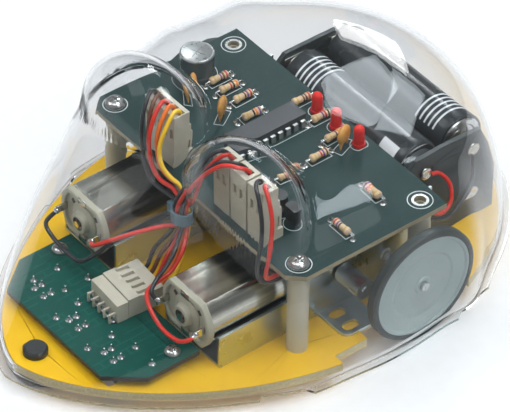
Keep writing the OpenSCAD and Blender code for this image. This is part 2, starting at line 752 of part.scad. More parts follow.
// Smooth path through hand-set points
function bend(p, q, r, s, t) = 0.5 * ((2 * q) + (r - p) * t
  + (2 * p - 5 * q + 4 * r - s) * t * t + (3 * q - p - 3 * r + s) * t * t * t);
function path_pt(v, i) = v[max(0, min(len(v) - 1, i))];
function smooth_path(v, cuts) = concat([for (i = [0 : len(v) - 2], k = [0 : cuts - 1])
  bend(path_pt(v, i - 1), v[i], v[i + 1], path_pt(v, i + 2), k / cuts)], [v[len(v) - 1]]);
function unit(v) = v / max(norm(v), 1e-6);
function tangents(p) = [for (i = [0 : len(p) - 1]) unit(path_pt(p, i + 1) - path_pt(p, i - 1))];
function carry(t, i, n) = i >= len(t) ? []
  : let (m = unit(n - t[i] * (n * t[i]))) concat([m], carry(t, i + 1, m));

module wire(v, r, cuts = 2, sides = 8) {
  p = smooth_path(v, cuts);
  t = tangents(p);
  n = carry(t, 0, abs(t[0][2]) < 0.9 ? [0, 0, 1] : [1, 0, 0]);
  rings = len(p);
  points = [for (i = [0 : rings - 1], k = [0 : sides - 1])
    let (a = k * 360 / sides) p[i] + r * (cos(a) * n[i] + sin(a) * cross(t[i], n[i]))];
  faces = concat([[for (k = [0 : sides - 1]) k]],
    [for (i = [0 : rings - 2], k = [0 : sides - 1]) let (j = (k + 1) % sides)
      each [[i * sides + j, i * sides + k, (i + 1) * sides + k],
            [i * sides + j, (i + 1) * sides + k, (i + 1) * sides + j]]],
    [[for (k = [sides - 1 : -1 : 0]) (rings - 1) * sides + k]]);
  polyhedron(points = points, faces = [for (f = faces) [for (k = [len(f) - 1 : -1 : 0]) f[k]]]);
}

wire_r = 0.6;
tie_x = 3.5;
tie_y = -23.3;
tie_z = 34;
bundle_r = 1.85;
function in_tie(k, z) = k < 0 ? [tie_x, tie_y, z]
  : [tie_x + bundle_r * cos(k * 45), tie_y + bundle_r * sin(k * 45), z];

plug_mouth_y = plug_front_y + 2.8;
function sensor_way(i) = sensor_plug_x0 + pitch / 2 + i * pitch;
function lying_pt(x, y, z) = [lie_x0 + lie_w / 2 + x * cos(lie_turn) - y * sin(lie_turn),
  lie_y + x * sin(lie_turn) + y * cos(lie_turn), z];

// Each sensor wire: out of its plug and down to the tie, then on to the lower plug
sensor_slots = [4, 3, -1, 2, 1];
sensor_upper = [
  [[-19.6, -16.4, 56.9], [-17.6, -19.6, 55.6], [-15.8, -22.2, 51.4], [-14.8, -23, 45.5],
    [-12.8, -23.4, 39.8], [-8.6, -23.7, 36.6], [-3, -23.6, 36.6]],
  [[-17.2, -16.3, 56.8], [-15.6, -19.2, 55.2], [-14, -21.4, 51], [-13.1, -22, 45.8],
    [-11.1, -22.3, 40.6], [-7.1, -22.5, 37.9], [-1.8, -22.3, 38.2]],
  [[-14.7, -16.4, 56.6], [-13.6, -19.6, 54.6], [-12.2, -22.4, 50.6], [-11.3, -23.2, 46],
    [-9.4, -23.6, 41.6], [-5.6, -23.6, 39.3], [-0.4, -23.4, 39.8]],
  [[-12.2, -16.2, 56.5], [-11.1, -19.2, 54.2], [-10.2, -21.4, 50.4], [-9.3, -22, 46.2],
    [-7.4, -22.4, 42.6], [-3.7, -22.3, 40.9], [0.9, -22.1, 41]],
  [[-9.6, -16.4, 56.4], [-8.6, -19.6, 53.8], [-8, -22, 50], [-7.3, -22.8, 46.6],
    [-5.2, -23.2, 43.8], [-1.6, -23, 42.4], [2.6, -22.6, 42]]];
sensor_lower = [
  [[-0.3, -25, 25.5], [-3.3, -27.7, 19.4]],
  [[1.4, -24.5, 25.3], [-0.6, -27.5, 19.4]],
  [[2.7, -24.9, 25.5], [1.7, -27.7, 19.4]],
  [[4, -24.3, 25.3], [4.4, -27.5, 19.3]],
  [[5.7, -24.4, 25.4], [6.8, -27.6, 19.4]]];
function sensor_route(i) = let (x = sensor_way(i), k = sensor_slots[i], off = (i - 2) * pitch)
  concat([[x, plug_mouth_y, plug_top - 1.9], [x, plug_mouth_y - 0.2, plug_top + 0.4]],
    sensor_upper[i], [in_tie(k, tie_z + 2.6), in_tie(k, tie_z - 2.6)], sensor_lower[i],
    [lying_pt(off, 13, 14.8), lying_pt(off, 9.8, 14.6)]);

module sensor_wires() color("crimson")
  for (i = [0 : 4]) wire(sensor_route(i), wire_r);

function supply_way(i, s) = supply_centres[i] + s * pitch / 2;

// Motor wires: the red and the black of the left motor, then of the right motor
motor_slots = [0, 7, 6, 5];
motor_upper = [
  [[12.2, -16.1, 56.7], [10.6, -18.2, 54.6], [8.5, -20.5, 49.6], [6.9, -22.2, 42]],
  [[9.6, -16.6, 56.4], [7.9, -19, 53.6], [6.5, -21.5, 47.9], [5.8, -23.6, 41.3]],
  [[18.6, -16.6, 57], [14.9, -19.4, 56.6], [10.6, -22.2, 51.4], [6.3, -25, 43]],
  [[16, -16.3, 56.7], [12.4, -18.8, 55.3], [8.6, -22, 49.5], [4.1, -24.9, 41.7]]];
motor_lower = [
  [[6.4, -24.5, 29], [8.8, -27.8, 26.4], [9.6, -32, 23], [10.2, -36.4, 22.4], [11.2, -40.9, 22],
    [15, -43.4, 21], [21, -44.2, 18.4], [27.4, -44, 18.4], [30.4, -42.6, 19.6], [30.5, -40.2, 20.2]],
  [[5.4, -26, 28.8], [8, -29.8, 26.8], [9.2, -33.6, 24.6], [10.8, -37.6, 24], [12.6, -40.7, 22.6],
    [14.5, -40.2, 20.6]],
  [[1.6, -27.4, 30.6], [-0, -31, 30.4], [-2.6, -35, 29], [-7, -39, 25.6], [-11.4, -41.6, 22],
    [-14.5, -40.2, 20.2]],
  [[-0.6, -26.7, 29], [-3.6, -30.5, 27], [-7.4, -36, 24.8], [-10.6, -41, 19.6],
    [-14.6, -43.8, 15.2], [-20, -44.4, 14.8], [-26.4, -44.2, 15.4], [-30.6, -43.6, 17.4],
    [-30.5, -40.2, 19.8]]];
function motor_route(i) = let (x = supply_way(floor(i / 2), i % 2 == 0 ? 1 : -1), k = motor_slots[i])
  concat([[x, plug_mouth_y, plug_top - 1.9], [x, plug_mouth_y - 0.2, plug_top + 0.4]],
    motor_upper[i], [in_tie(k, tie_z + 2.6), in_tie(k, tie_z - 2.6)], motor_lower[i]);

module motor_wires() color("firebrick")
  for (i = [0 : 3]) wire(motor_route(i), wire_r);

// Battery wires: the red to the upper front contact, the black to the lower rear one
battery_routes = [
  [[27, -14, 53.1], [27.1, -14.3, 55.5], [28.6, -16, 57], [32, -17.4, 56],
    [35, -18.6, 51.4], [36.4, -20, 46], [37.2, -21.4, 41], [37, -22, 36.6],
    [36.2, -20.5, 33.4], [35.6, -14, 32.6], [35.6, -4, 33], [35.6, 8, 33],
    [35.6, 20, 33], [35.6, 28, 30.6], [35.6, 34, 26], [35.8, 38.4, 23.6],
    [35, 42.6, 25.4], [32.6, 44.2, 29], [30, 42.6, 31.6], [29.4, 40, 32]],
  [[24.4, -14, 53.1], [24.5, -14.3, 55.5], [26.2, -17, 56.6], [30, -18.8, 54],
    [32.6, -20, 49], [34, -21.4, 44], [34.8, -22.8, 39.6], [34.9, -23, 35],
    [35.2, -21, 31.6], [35.6, -14, 30.4], [35.6, -4, 30.8], [35.6, 8, 31],
    [35.6, 20, 31], [35.6, 28, 28.6], [35.6, 34, 23.6], [35.4, 41, 20.6], [34, 48, 22],
    [31.6, 52, 24.6], [30.6, 53, 27.6], [29.4, 54, 31]]];

module battery_wires() color("red")
  for (v = battery_routes) wire(v, wire_r);

module cable_tie() color("#5b93a8") translate([tie_x, tie_y, tie_z - 1.9]) difference() {
  union() {
    cylinder(h = 3.8, r = 3.35);
    translate([-4.9, -1.6, 0.3]) cube([2.6, 3.2, 3.2]);
  }
  translate([0, 0, -1]) cylinder(h = 6, r = 2.7);
}

// ---------------------------------------------------------------- dome

skirt_gap = 0.4;
shell_foot = plate_top + 0.6;
rim_t = 0.8;
eye = [21.9, -16.4, 44.6];
eye_size = [21.6, 13.8, 19.5];
eye_turn = -2;
eye_wall = 4;
crest_y = 12;
angles = 80;
rings = 20;

// Outline of the shell: the plate's, let out a little past the ends of the board and wheel
function arch(y) = 3.2 * exp(-pow((y - 36) / 8, 2)) + 1.6 * exp(-pow((y + 21) / 9, 2));
function shell_outline(a, grow) = let (o = outline_pt(a, skirt_gap + grow))
  [o[0] + sign(o[0]) * arch(o[1]), o[1]];
// Fullness of the shell's profile: sloping towards the nose, upright at the sides and tail
function to_nose(a) = pow(max(-sin(a), 0), 0.8);
function to_tail(a) = pow(max(sin(a), 0), 1.4);
function mix(a, nose, side, tail) = nose * to_nose(a) + tail * to_tail(a)
  + side * (1 - to_nose(a) - to_tail(a));
function crown_z(a, s, inset) = shell_foot - inset * 0.4 + (dome_h - inset - shell_foot)
  * pow(1 - pow(s, mix(a, 2.5, 5.6, 7.8)), 1 / mix(a, 0.9, 3.2, 0.95));
function eye_z(x, y, inset) = let (u = abs(x) - eye[0], v = y - eye[1],
    e = (u * cos(eye_turn) + v * sin(eye_turn)) / (eye_size[0] - inset),
    f = (v * cos(eye_turn) - u * sin(eye_turn)) / (eye_size[1] - inset), d = e * e + f * f)
  eye[2] + (eye_size[2] - inset) * (d < 1 ? sqrt(1 - d) : eye_wall * (1 - sqrt(d)));
// Soft maximum, so that each eye runs into the shell with a fillet
function blend_max(a, b) = let (k = 2.5, m = max(a, b)) m + ln(exp((a - m) / k) + exp((b - m) / k)) * k;
function shell_pt(a, s, inset) = let (o = shell_outline(a, dome_t - inset),
    x = o[0] * s, y = crest_y + (o[1] - crest_y) * s,
    c = crown_z(a, s, inset), e = eye_z(x, y, inset))
  [x, y, s < 1 ? blend_max(c, e) : c];
// Radial steps, closer together towards the foot
function step_s(i) = i == rings ? 1 : sin(90 * i / rings);
// The rim is cut back in front of and behind each wheel
function rim_cut(a) = let (y = outline_pt(a, 0)[1]) (y > -31 && y < -19) || (y > 28.5 && y < 40);
function rim_pt(a, z) = let (o = shell_outline(a, dome_t + (rim_cut(a) ? 0.3 : rim_w)))
  [o[0], o[1], z];
function skirt_pt(a, inset, z) = let (o = shell_outline(a, dome_t - inset)) [o[0], o[1], z];

module dome_shell() color("lightgray", 0.35) {
  loops = concat(
    [for (i = [1 : rings]) [for (k = [0 : angles - 1]) shell_pt(k * 360 / angles, step_s(i), 0)]],
    [[for (k = [0 : angles - 1]) skirt_pt(k * 360 / angles, 0, plate_bottom + rim_t)],
     [for (k = [0 : angles - 1]) rim_pt(k * 360 / angles, plate_bottom + rim_t)],
     [for (k = [0 : angles - 1]) rim_pt(k * 360 / angles, plate_bottom)],
     [for (k = [0 : angles - 1]) skirt_pt(k * 360 / angles, dome_t, plate_bottom)]],
    [for (i = [rings : -1 : 1])
      [for (k = [0 : angles - 1]) shell_pt(k * 360 / angles, step_s(i), dome_t)]]);
  flat = [for (l = loops) each l];
  top = shell_pt(0, 0, 0);
  under = shell_pt(0, 0, dome_t);
  count = len(flat);
  last = (len(loops) - 1) * angles;
  faces = concat(
    [for (k = [0 : angles - 1]) [count, (k + 1) % angles, k]],
    [for (i = [0 : len(loops) - 2], k = [0 : angles - 1])
      let (j = (k + 1) % angles, a = i * angles, b = (i + 1) * angles)
      each [[a + k, a + j, b + k], [a + j, b + j, b + k]]],
    [for (k = [0 : angles - 1]) [count + 1, last + k, last + (k + 1) % angles]]);
  polyhedron(points = concat(flat, [top, under]), faces = faces);
}

base_plate();
front_skid();
rear_skid();
main_board();
control_chip();
resistors();
disc_capacitors();
buffer_capacitor();
status_leds();
transistors();
sensor_header();
sensor_plug();
supply_headers();
supply_plugs();
standoffs();
board_screws();
underside_screws();
sensor_board();
sensor_spacers();
sensor_board_header();
sensor_board_plug();
infrared_emitters();
phototransistors();
solder_joints();
battery_holder();
upper_cells();
lower_cells();
battery_springs();
battery_contacts();
left_gear_frame();
right_gear_frame();
motor_cans();
motor_end_caps();
motor_terminals();
shaft_bushes();
sensor_wires();
motor_wires();
battery_wires();
cable_tie();
switch_body();
switch_slider();
dome_shell();
left_wheel_disc();
left_tyre();
left_axle();
left_axle_gear();
right_wheel_disc();
right_tyre();
right_axle();
right_axle_gear();
left_idler_gear();
left_idler_shaft();
right_idler_gear();
right_idler_shaft();
left_motor_rotor();
left_motor_pinion();
right_motor_rotor();
right_motor_pinion();
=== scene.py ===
"""Looks of the line follower robot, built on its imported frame."""

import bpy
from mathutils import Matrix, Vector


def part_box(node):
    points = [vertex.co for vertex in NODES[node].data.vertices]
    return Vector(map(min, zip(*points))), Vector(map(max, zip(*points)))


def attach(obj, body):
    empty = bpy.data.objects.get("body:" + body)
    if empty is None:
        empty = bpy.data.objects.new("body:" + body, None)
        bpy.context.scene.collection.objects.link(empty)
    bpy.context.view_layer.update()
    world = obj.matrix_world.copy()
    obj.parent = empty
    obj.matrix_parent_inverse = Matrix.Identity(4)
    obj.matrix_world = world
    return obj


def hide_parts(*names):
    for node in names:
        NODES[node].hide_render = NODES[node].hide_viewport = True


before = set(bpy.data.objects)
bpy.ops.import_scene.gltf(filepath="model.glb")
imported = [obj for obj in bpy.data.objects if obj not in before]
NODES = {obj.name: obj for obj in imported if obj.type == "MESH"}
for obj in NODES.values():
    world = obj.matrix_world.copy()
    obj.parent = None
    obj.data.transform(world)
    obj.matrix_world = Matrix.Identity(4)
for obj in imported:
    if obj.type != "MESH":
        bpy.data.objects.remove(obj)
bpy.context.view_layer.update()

import math
import random
from math import cos, pi, radians, sin

import bmesh
import bpy
from mathutils import Matrix, Quaternion, Vector

MM = 0.001
TAU = 2 * pi


# -------- camera and light

VIEW_AZIMUTH, VIEW_ELEVATION, VIEW_ROLL = 51.55, 42.05, 0.58
LAMP_DISTANCE = 3.0
LAMP_TARGET = (0, 0, 0.03)
SKY_TINT = (0.86, 0.95, 1.0)


def view_direction(azimuth, elevation):
    """Unit vector from the robot towards a view or a lamp, from angles in degrees."""
    a, e = radians(azimuth), radians(elevation)
    return Vector((sin(a) * cos(e), -cos(a) * cos(e), sin(e)))


def make_camera():
    """Camera at the photograph's angle: azimuth and elevation of the view, then a slight roll."""
    aim = Vector((1.2, 2.56, 20.9)) * MM
    distance = 1206.4 * MM
    azimuth, roll = radians(VIEW_AZIMUTH), radians(VIEW_ROLL)
    back = view_direction(VIEW_AZIMUTH, VIEW_ELEVATION)
    flat = Vector((cos(azimuth), sin(azimuth), 0))
    upright = back.cross(flat)
    right = flat * cos(roll) + upright * sin(roll)
    up = upright * cos(roll) - flat * sin(roll)
    camera = bpy.data.objects.new("camera", bpy.data.cameras.new("camera"))
    bpy.context.scene.collection.objects.link(camera)
    camera.data.sensor_width = 36
    camera.data.lens = 317.6
    camera.data.clip_start = 0.1
    camera.data.clip_end = 20
    camera.matrix_world = Matrix.Translation(aim + back * distance) @ Matrix(
        (right, up, back)).transposed().to_4x4()
    bpy.context.scene.camera = camera


def lamp(name, azimuth, elevation, spread, radiance, glossy=True, tint=(1, 1, 1), roll=0):
    """Rectangular lamp aimed at the robot; spread is its half width and half height in degrees."""
    away = view_direction(azimuth, elevation)
    data = bpy.data.lights.new(name, "AREA")
    data.shape = "RECTANGLE"
    data.size, data.size_y = (2 * LAMP_DISTANCE * math.tan(radians(v)) for v in spread)
    data.energy = radiance * pi * data.size * data.size_y
    data.color = tint
    light = bpy.data.objects.new(name, data)
    bpy.context.scene.collection.objects.link(light)
    light.location = Vector(LAMP_TARGET) + away * LAMP_DISTANCE
    light.rotation_mode = "QUATERNION"
    light.rotation_quaternion = (away.to_track_quat("Z", "Y")
                                 @ Quaternion((0, 0, 1), radians(roll)))
    light.visible_glossy = glossy


def make_light():
    """Soft lamps light the robot, window lamps are what the dome mirrors, and the sky is dim."""
    lamp("key_left", 318, 52, (14, 14), 2.75, glossy=False)
    lamp("key_right", 100, 48, (14, 14), 2.3, glossy=False)
    lamp("key_top", 20, 78, (14, 14), 2.2, glossy=False)
    lamp("window_cells", 216.9, 41.6, (5.9, 3.0), 6.5, tint=SKY_TINT)
    lamp("window_corner", 226.5, 40.8, (1.87, 1.87), 6.5, tint=SKY_TINT, roll=45)
    lamp("window_tail", 224, 32.9, (3.6, 4.4), 14)
    lamp("window_board", 150, 71, (13, 8), 9, tint=SKY_TINT)
    world = bpy.data.worlds.new("studio")
    world.use_nodes = True
    nodes, links = world.node_tree.nodes, world.node_tree.links
    background = nodes["Background"]
    place = nodes.new("ShaderNodeTexCoord")
    axes = nodes.new("ShaderNodeSeparateXYZ")
    ramp = nodes.new("ShaderNodeMapRange")
    links.new(place.outputs["Generated"], axes.inputs[0])
    links.new(axes.outputs[2], ramp.inputs[0])
    low, high, dim, bright = 0.0, 0.9, 0.22, 0.42
    for socket, value in zip(ramp.inputs[1:5], (low, high, dim, bright)):
        socket.default_value = value
    links.new(ramp.outputs[0], background.inputs["Strength"])
    background.inputs["Color"].default_value = (0.93, 0.96, 1.0, 1)
    bpy.context.scene.world = world
    bpy.context.scene.view_settings.view_transform = "Standard"


def make_floor():
    mesh = bpy.data.meshes.new("floor")
    half, below_wheels = 3.0, 0.0002
    mesh.from_pydata([(-half, -half, 0), (half, -half, 0), (half, half, 0), (-half, half, 0)], [],
                     [(0, 1, 2, 3)])
    floor = bpy.data.objects.new("floor", mesh)
    bpy.context.scene.collection.objects.link(floor)
    floor.location.z = -below_wheels
    floor.data.materials.append(material("floor_white", (0.86, 0.86, 0.86), 0.8, vary=0.01,
                                         emission_color=(1, 1, 1, 1), emission_strength=0.06))


# -------- materials

class Tree:
    """Short names for building one material's node tree."""

    def __init__(self, name):
        self.material = bpy.data.materials.new(name)
        self.material.use_nodes = True
        self.nodes = self.material.node_tree.nodes
        self.links = self.material.node_tree.links
        self.shader = self.nodes["Principled BSDF"]
        self.output = self.nodes["Material Output"]
        self.place = self.nodes.new("ShaderNodeTexCoord").outputs["Object"]

    def add(self, kind, **settings):
        node = self.nodes.new("ShaderNode" + kind)
        for key, value in settings.items():
            setattr(node, key, value)
        return node

    def set(self, **sockets):
        """Set the shader's inputs; coat_weight stands for the one called Coat Weight."""
        for name, value in sockets.items():
            name = name.replace("_", " ").title().replace("Ior", "IOR")
            self.shader.inputs[name].default_value = value

    def join(self, source, target):
        self.links.new(source, target)

    def math(self, operation, a, b=None):
        node = self.add("Math", operation=operation)
        for socket, value in zip(node.inputs, (a, b)):
            if value is None:
                continue
            if isinstance(value, (int, float)):
                socket.default_value = value
            else:
                self.join(value, socket)
        return node.outputs[0]

    def axis(self, index, source=None):
        node = self.add("SeparateXYZ")
        self.join(source or self.place, node.inputs[0])
        return node.outputs[index]

    def upright(self, limit):
        """1 on walls, where the normal's height is under limit, and 0 on flat faces."""
        normal = self.add("NewGeometry").outputs["Normal"]
        return self.math("LESS_THAN", self.math("ABSOLUTE", self.axis(2, normal)), limit)

    def noise(self, scale, detail=2, stretch=(1, 1, 1)):
        """Noise of about scale features per metre."""
        mapping = self.add("Mapping")
        mapping.inputs["Scale"].default_value = stretch
        self.join(self.place, mapping.inputs[0])
        node = self.add("TexNoise")
        node.inputs["Scale"].default_value = scale
        node.inputs["Detail"].default_value = detail
        self.join(mapping.outputs[0], node.inputs["Vector"])
        return node.outputs["Fac"]

    def mix(self, factor, a, b):
        node = self.add("Mix", data_type="RGBA")
        for socket, value in ((node.inputs[0], factor), (node.inputs[6], a), (node.inputs[7], b)):
            if isinstance(value, (int, float)):
                socket.default_value = value
            elif isinstance(value, tuple):
                socket.default_value = (*value, 1)
            else:
                self.join(value, socket)
        return node.outputs[2]

    def blend(self, value, a, b, low=0.3, high=0.7):
        """Colour a where value is at most low, b where it is at least high."""
        return self.mix(self.range(value, low, high, 0, 1), a, b)

    def range(self, value, low, high, to_low, to_high):
        node = self.add("MapRange")
        self.join(value, node.inputs[0])
        for socket, number in zip(node.inputs[1:5], (low, high, to_low, to_high)):
            socket.default_value = number
        return node.outputs[0]

    def bump(self, height, strength, distance=0.0001):
        node = self.add("Bump")
        node.inputs["Strength"].default_value = strength
        node.inputs["Distance"].default_value = distance
        self.join(height, node.inputs["Height"])
        self.join(node.outputs[0], self.shader.inputs["Normal"])

    def color(self, source):
        self.join(source, self.shader.inputs["Base Color"])

    def rough(self, value, smooth, dull, low=0.3, high=0.7):
        """Roughness smooth where value is at most low, dull where it is at least high."""
        self.join(self.range(value, low, high, smooth, dull), self.shader.inputs["Roughness"])


def shade(color, factor):
    return tuple(min(1.0, c * factor) for c in color)


def material(name, color, rough, metal=0.0, vary=0.06, grain=1500, stretch=(1, 1, 1), bump=0.0,
             **sockets):
    """Colour drifts a little, roughness is uneven and the surface may have a fine grain."""
    tree = Tree(name)
    tree.set(metallic=metal, **sockets)
    drift = tree.noise(grain * 0.15, 3, stretch)
    fine = tree.noise(grain, 3, stretch)
    tree.color(tree.blend(drift, shade(color, 1 - vary), shade(color, 1 + vary), 0.35, 0.65))
    uneven, smoothest = 0.05, 0.02
    tree.rough(fine, max(rough - uneven, smoothest), rough + uneven)
    if bump:
        tree.bump(fine, bump)
    return tree.material


def foam_board():
    """Yellow faces with fine scuffs, and cut edges: paler foam between two yellow skins."""
    underside, top, skin_from = 0.0050, 0.0080, 0.42
    tree = Tree("foam_board")
    face = tree.blend(tree.noise(160, 4), (0.86, 0.48, 0.003), (0.91, 0.54, 0.006))
    pores = tree.noise(2600, 3)
    edge = tree.blend(pores, (0.50, 0.40, 0.20), (0.72, 0.62, 0.36), 0.35, 0.65)
    layer = tree.math("SUBTRACT", tree.range(tree.axis(2), underside, top, 0, 1), 0.5)
    skin = tree.math("GREATER_THAN", tree.math("ABSOLUTE", layer), skin_from)
    edge = tree.mix(skin, edge, (0.72, 0.45, 0.03))
    tree.color(tree.mix(tree.upright(0.6), face, edge))
    tree.rough(pores, 0.42, 0.6)
    tree.bump(pores, 0.12)
    tree.set(specular_ior_level=0.25)
    return tree.material


def circuit_board(name, mask, trace, edge, cell, rough):
    """Solder mask over thin raised tracks laid out in cells, with a bare laminate edge."""
    tree = Tree(name)
    tracks = tree.add("TexBrick", offset=0.37, squash=1.0)
    mapping = tree.add("Mapping")
    mapping.inputs["Rotation"].default_value = (0, 0, radians(90))
    tree.join(tree.place, mapping.inputs[0])
    tree.join(mapping.outputs[0], tracks.inputs["Vector"])
    for socket, value in (("Scale", cell), ("Mortar Size", 0.09), ("Mortar Smooth", 0.2),
                          ("Brick Width", 2.6), ("Row Height", 0.7)):
        tracks.inputs[socket].default_value = value
    broken = tree.math("GREATER_THAN", tree.noise(220, 0), 0.47)
    line = tree.math("MULTIPLY", tracks.outputs["Fac"], broken)
    face = tree.blend(tree.noise(90, 3), shade(mask, 0.96), shade(mask, 1.04))
    face = tree.mix(line, face, trace)
    weave = tree.noise(3000, 2, (1, 1, 4))
    laminate = tree.mix(weave, shade(edge, 0.8), shade(edge, 1.15))
    tree.color(tree.mix(tree.upright(0.5), face, laminate))
    tree.rough(tree.noise(160, 2), rough - 0.02, rough + 0.03)
    tree.bump(line, 0.08, 0.00004)
    tree.set(specular_ior_level=0.18)
    return tree.material


def clear_plastic():
    """Clear sheet that lets lamps through, with a faint drawn-sheet waviness."""
    tint = (0.876, 0.881, 0.890)
    tree = Tree("clear_shell")
    tree.set(ior=1.30, transmission_weight=1, base_color=(*tint, 1))
    tree.rough(tree.noise(120, 2), 0.0, 0.03, 0.4, 0.9)
    tree.bump(tree.noise(26, 1), 0.06, 0.0012)
    clear = tree.add("BsdfTransparent")
    clear.inputs["Color"].default_value = (*shade(tint, 0.97), 1)
    path = tree.add("LightPath")
    both = tree.add("MixShader")
    tree.join(path.outputs["Is Shadow Ray"], both.inputs[0])
    tree.join(tree.shader.outputs[0], both.inputs[1])
    tree.join(clear.outputs[0], both.inputs[2])
    tree.join(both.outputs[0], tree.output.inputs["Surface"])
    return tree.material


def chip_body():
    """Moulded black body with plated legs: the legs are what lies outside the body's width."""
    tree = Tree("chip_plastic_and_legs")
    low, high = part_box("control_chip")
    middle, half_body = (low.x + high.x) / 2, 3.21 * MM
    out = tree.math("ABSOLUTE", tree.math("SUBTRACT", tree.axis(0), middle))
    leg = tree.math("GREATER_THAN", out, half_body)
    grain = tree.noise(4000, 2)
    plastic = tree.mix(grain, (0.022, 0.026, 0.03), (0.04, 0.046, 0.05))
    tree.color(tree.mix(leg, plastic, (0.62, 0.62, 0.6)))
    tree.join(leg, tree.shader.inputs["Metallic"])
    tree.rough(grain, 0.3, 0.42)
    tree.bump(grain, 0.1, 0.00005)
    return tree.material


# -------- mesh building

def aim_matrix(place, direction):
    """Matrix that puts local +Z along direction at place (millimetres)."""
    turn = Vector(direction).to_track_quat("Z", "Y").to_matrix().to_4x4()
    return Matrix.Translation(Vector(place)) @ turn


def turned(at, degrees, axis="Z"):
    return at @ Matrix.Rotation(radians(degrees), 4, axis)


class Shape:
    """One piece, gathered in millimetres, whose faces may use several materials."""

    def __init__(self):
        self.mesh = bmesh.new()

    def wall(self, lower, upper, band):
        """Faces between two rings; a ring that repeats one vertex makes them triangles."""
        for i in range(len(lower)):
            j = (i + 1) % len(lower)
            corners = tuple(dict.fromkeys((lower[i], lower[j], upper[j], upper[i])))
            if len(corners) > 2:
                self.mesh.faces.new(corners).material_index = band

    def lathe(self, profile, matrix, segments):
        """profile is a list of (radius, height, material of the band that follows it)."""
        rows = []
        for radius, height, _ in profile:
            if radius < 1e-6:
                rows.append([self.mesh.verts.new(matrix @ Vector((0, 0, height)))] * segments)
                continue
            ring = []
            for i in range(segments):
                a = TAU * i / segments
                spot = Vector((radius * cos(a), radius * sin(a), height))
                ring.append(self.mesh.verts.new(matrix @ spot))
            rows.append(ring)
        for lower, upper, (_, _, band) in zip(rows, rows[1:], profile):
            self.wall(lower, upper, band)

    def block(self, low, high, band, bevel, matrix):
        """Box from low to high with rounded edges, placed by matrix."""
        made = bmesh.ops.create_cube(self.mesh, size=1)["verts"]
        low, high = Vector(low), Vector(high)
        scale = Matrix.Diagonal((*(high - low), 1))
        bmesh.ops.transform(self.mesh, matrix=Matrix.Translation((low + high) / 2) @ scale,
                            verts=made)
        edges = list({e for v in made for e in v.link_edges})
        out = bmesh.ops.bevel(self.mesh, geom=edges, offset=bevel, segments=2, affect="EDGES",
                              profile=0.6)
        made = list({v for f in out["faces"] for v in f.verts} | {v for v in made if v.is_valid})
        for face in {f for v in made for f in v.link_faces}:
            face.material_index = band
        bmesh.ops.transform(self.mesh, matrix=matrix, verts=made)

    def tube(self, points, radius, sides=12, band=0, taper=None):
        """Round tube along points; taper gives the radius at each point as a share."""
        points = [Vector(p) for p in points]
        tangents = []
        for i in range(len(points)):
            before, after = points[max(i - 1, 0)], points[min(i + 1, len(points) - 1)]
            tangents.append((after - before).normalized())
        side = tangents[0].orthogonal().normalized()
        loops = []
        for i, (point, along) in enumerate(zip(points, tangents)):
            side = (side - along * side.dot(along)).normalized()
            other = along.cross(side)
            r = radius * (taper[i] if taper else 1)
            loops.append([point + side * r * cos(TAU * k / sides)
                          + other * r * sin(TAU * k / sides) for k in range(sides)])
        self.loft(loops, band)

    def strip(self, outline, inline, z, thickness, band=0):
        """Flat closed band between two loops of equal length, such as a printed ring."""
        top = z + thickness
        rows = []
        for loop, height in ((outline, z), (outline, top), (inline, top), (inline, z)):
            rows.append([self.mesh.verts.new((x, y, height)) for x, y in loop])
        for lower, upper in zip(rows, rows[1:] + rows[:1]):
            self.wall(lower, upper, band)

    def loft(self, loops, band=0):
        """Walls between successive loops of equal length, closed at both ends."""
        rows = [[self.mesh.verts.new(p) for p in loop] for loop in loops]
        for lower, upper in zip(rows, rows[1:]):
            self.wall(lower, upper, band)
        self.mesh.faces.new(rows[0][::-1]).material_index = band
        self.mesh.faces.new(rows[-1]).material_index = band

    def piece(self, name, materials, replaces=(), slot=None, body="chassis", sharp=35):
        """Turn the shape into an object; edges over sharp degrees stay sharp."""
        bmesh.ops.recalc_face_normals(self.mesh, faces=self.mesh.faces)
        bmesh.ops.scale(self.mesh, vec=(MM, MM, MM), verts=self.mesh.verts)
        data = bpy.data.meshes.new(name)
        self.mesh.to_mesh(data)
        self.mesh.free()
        for face in data.polygons:
            face.use_smooth = True
        data.set_sharp_from_angle(angle=radians(sharp))
        for item in materials:
            data.materials.append(item)
        made = bpy.data.objects.new(name, data)
        bpy.context.scene.collection.objects.link(made)
        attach(made, body)
        if replaces:
            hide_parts(*replaces)


def smooth_path(points):
    """The same smooth path as the part's: it passes through every point."""
    points = [Vector(p) for p in points]
    last, cuts = len(points) - 1, 8
    out = []
    for i in range(last):
        p, q, r, s = (points[max(0, min(last, i + k))] for k in (-1, 0, 1, 2))
        for k in range(cuts):
            t = k / cuts
            out.append(0.5 * (2 * q + (r - p) * t + (2 * p - 5 * q + 4 * r - s) * t * t
                              + (3 * q - p - 3 * r + s) * t ** 3))
    return out + [points[last]]


# -------- wires

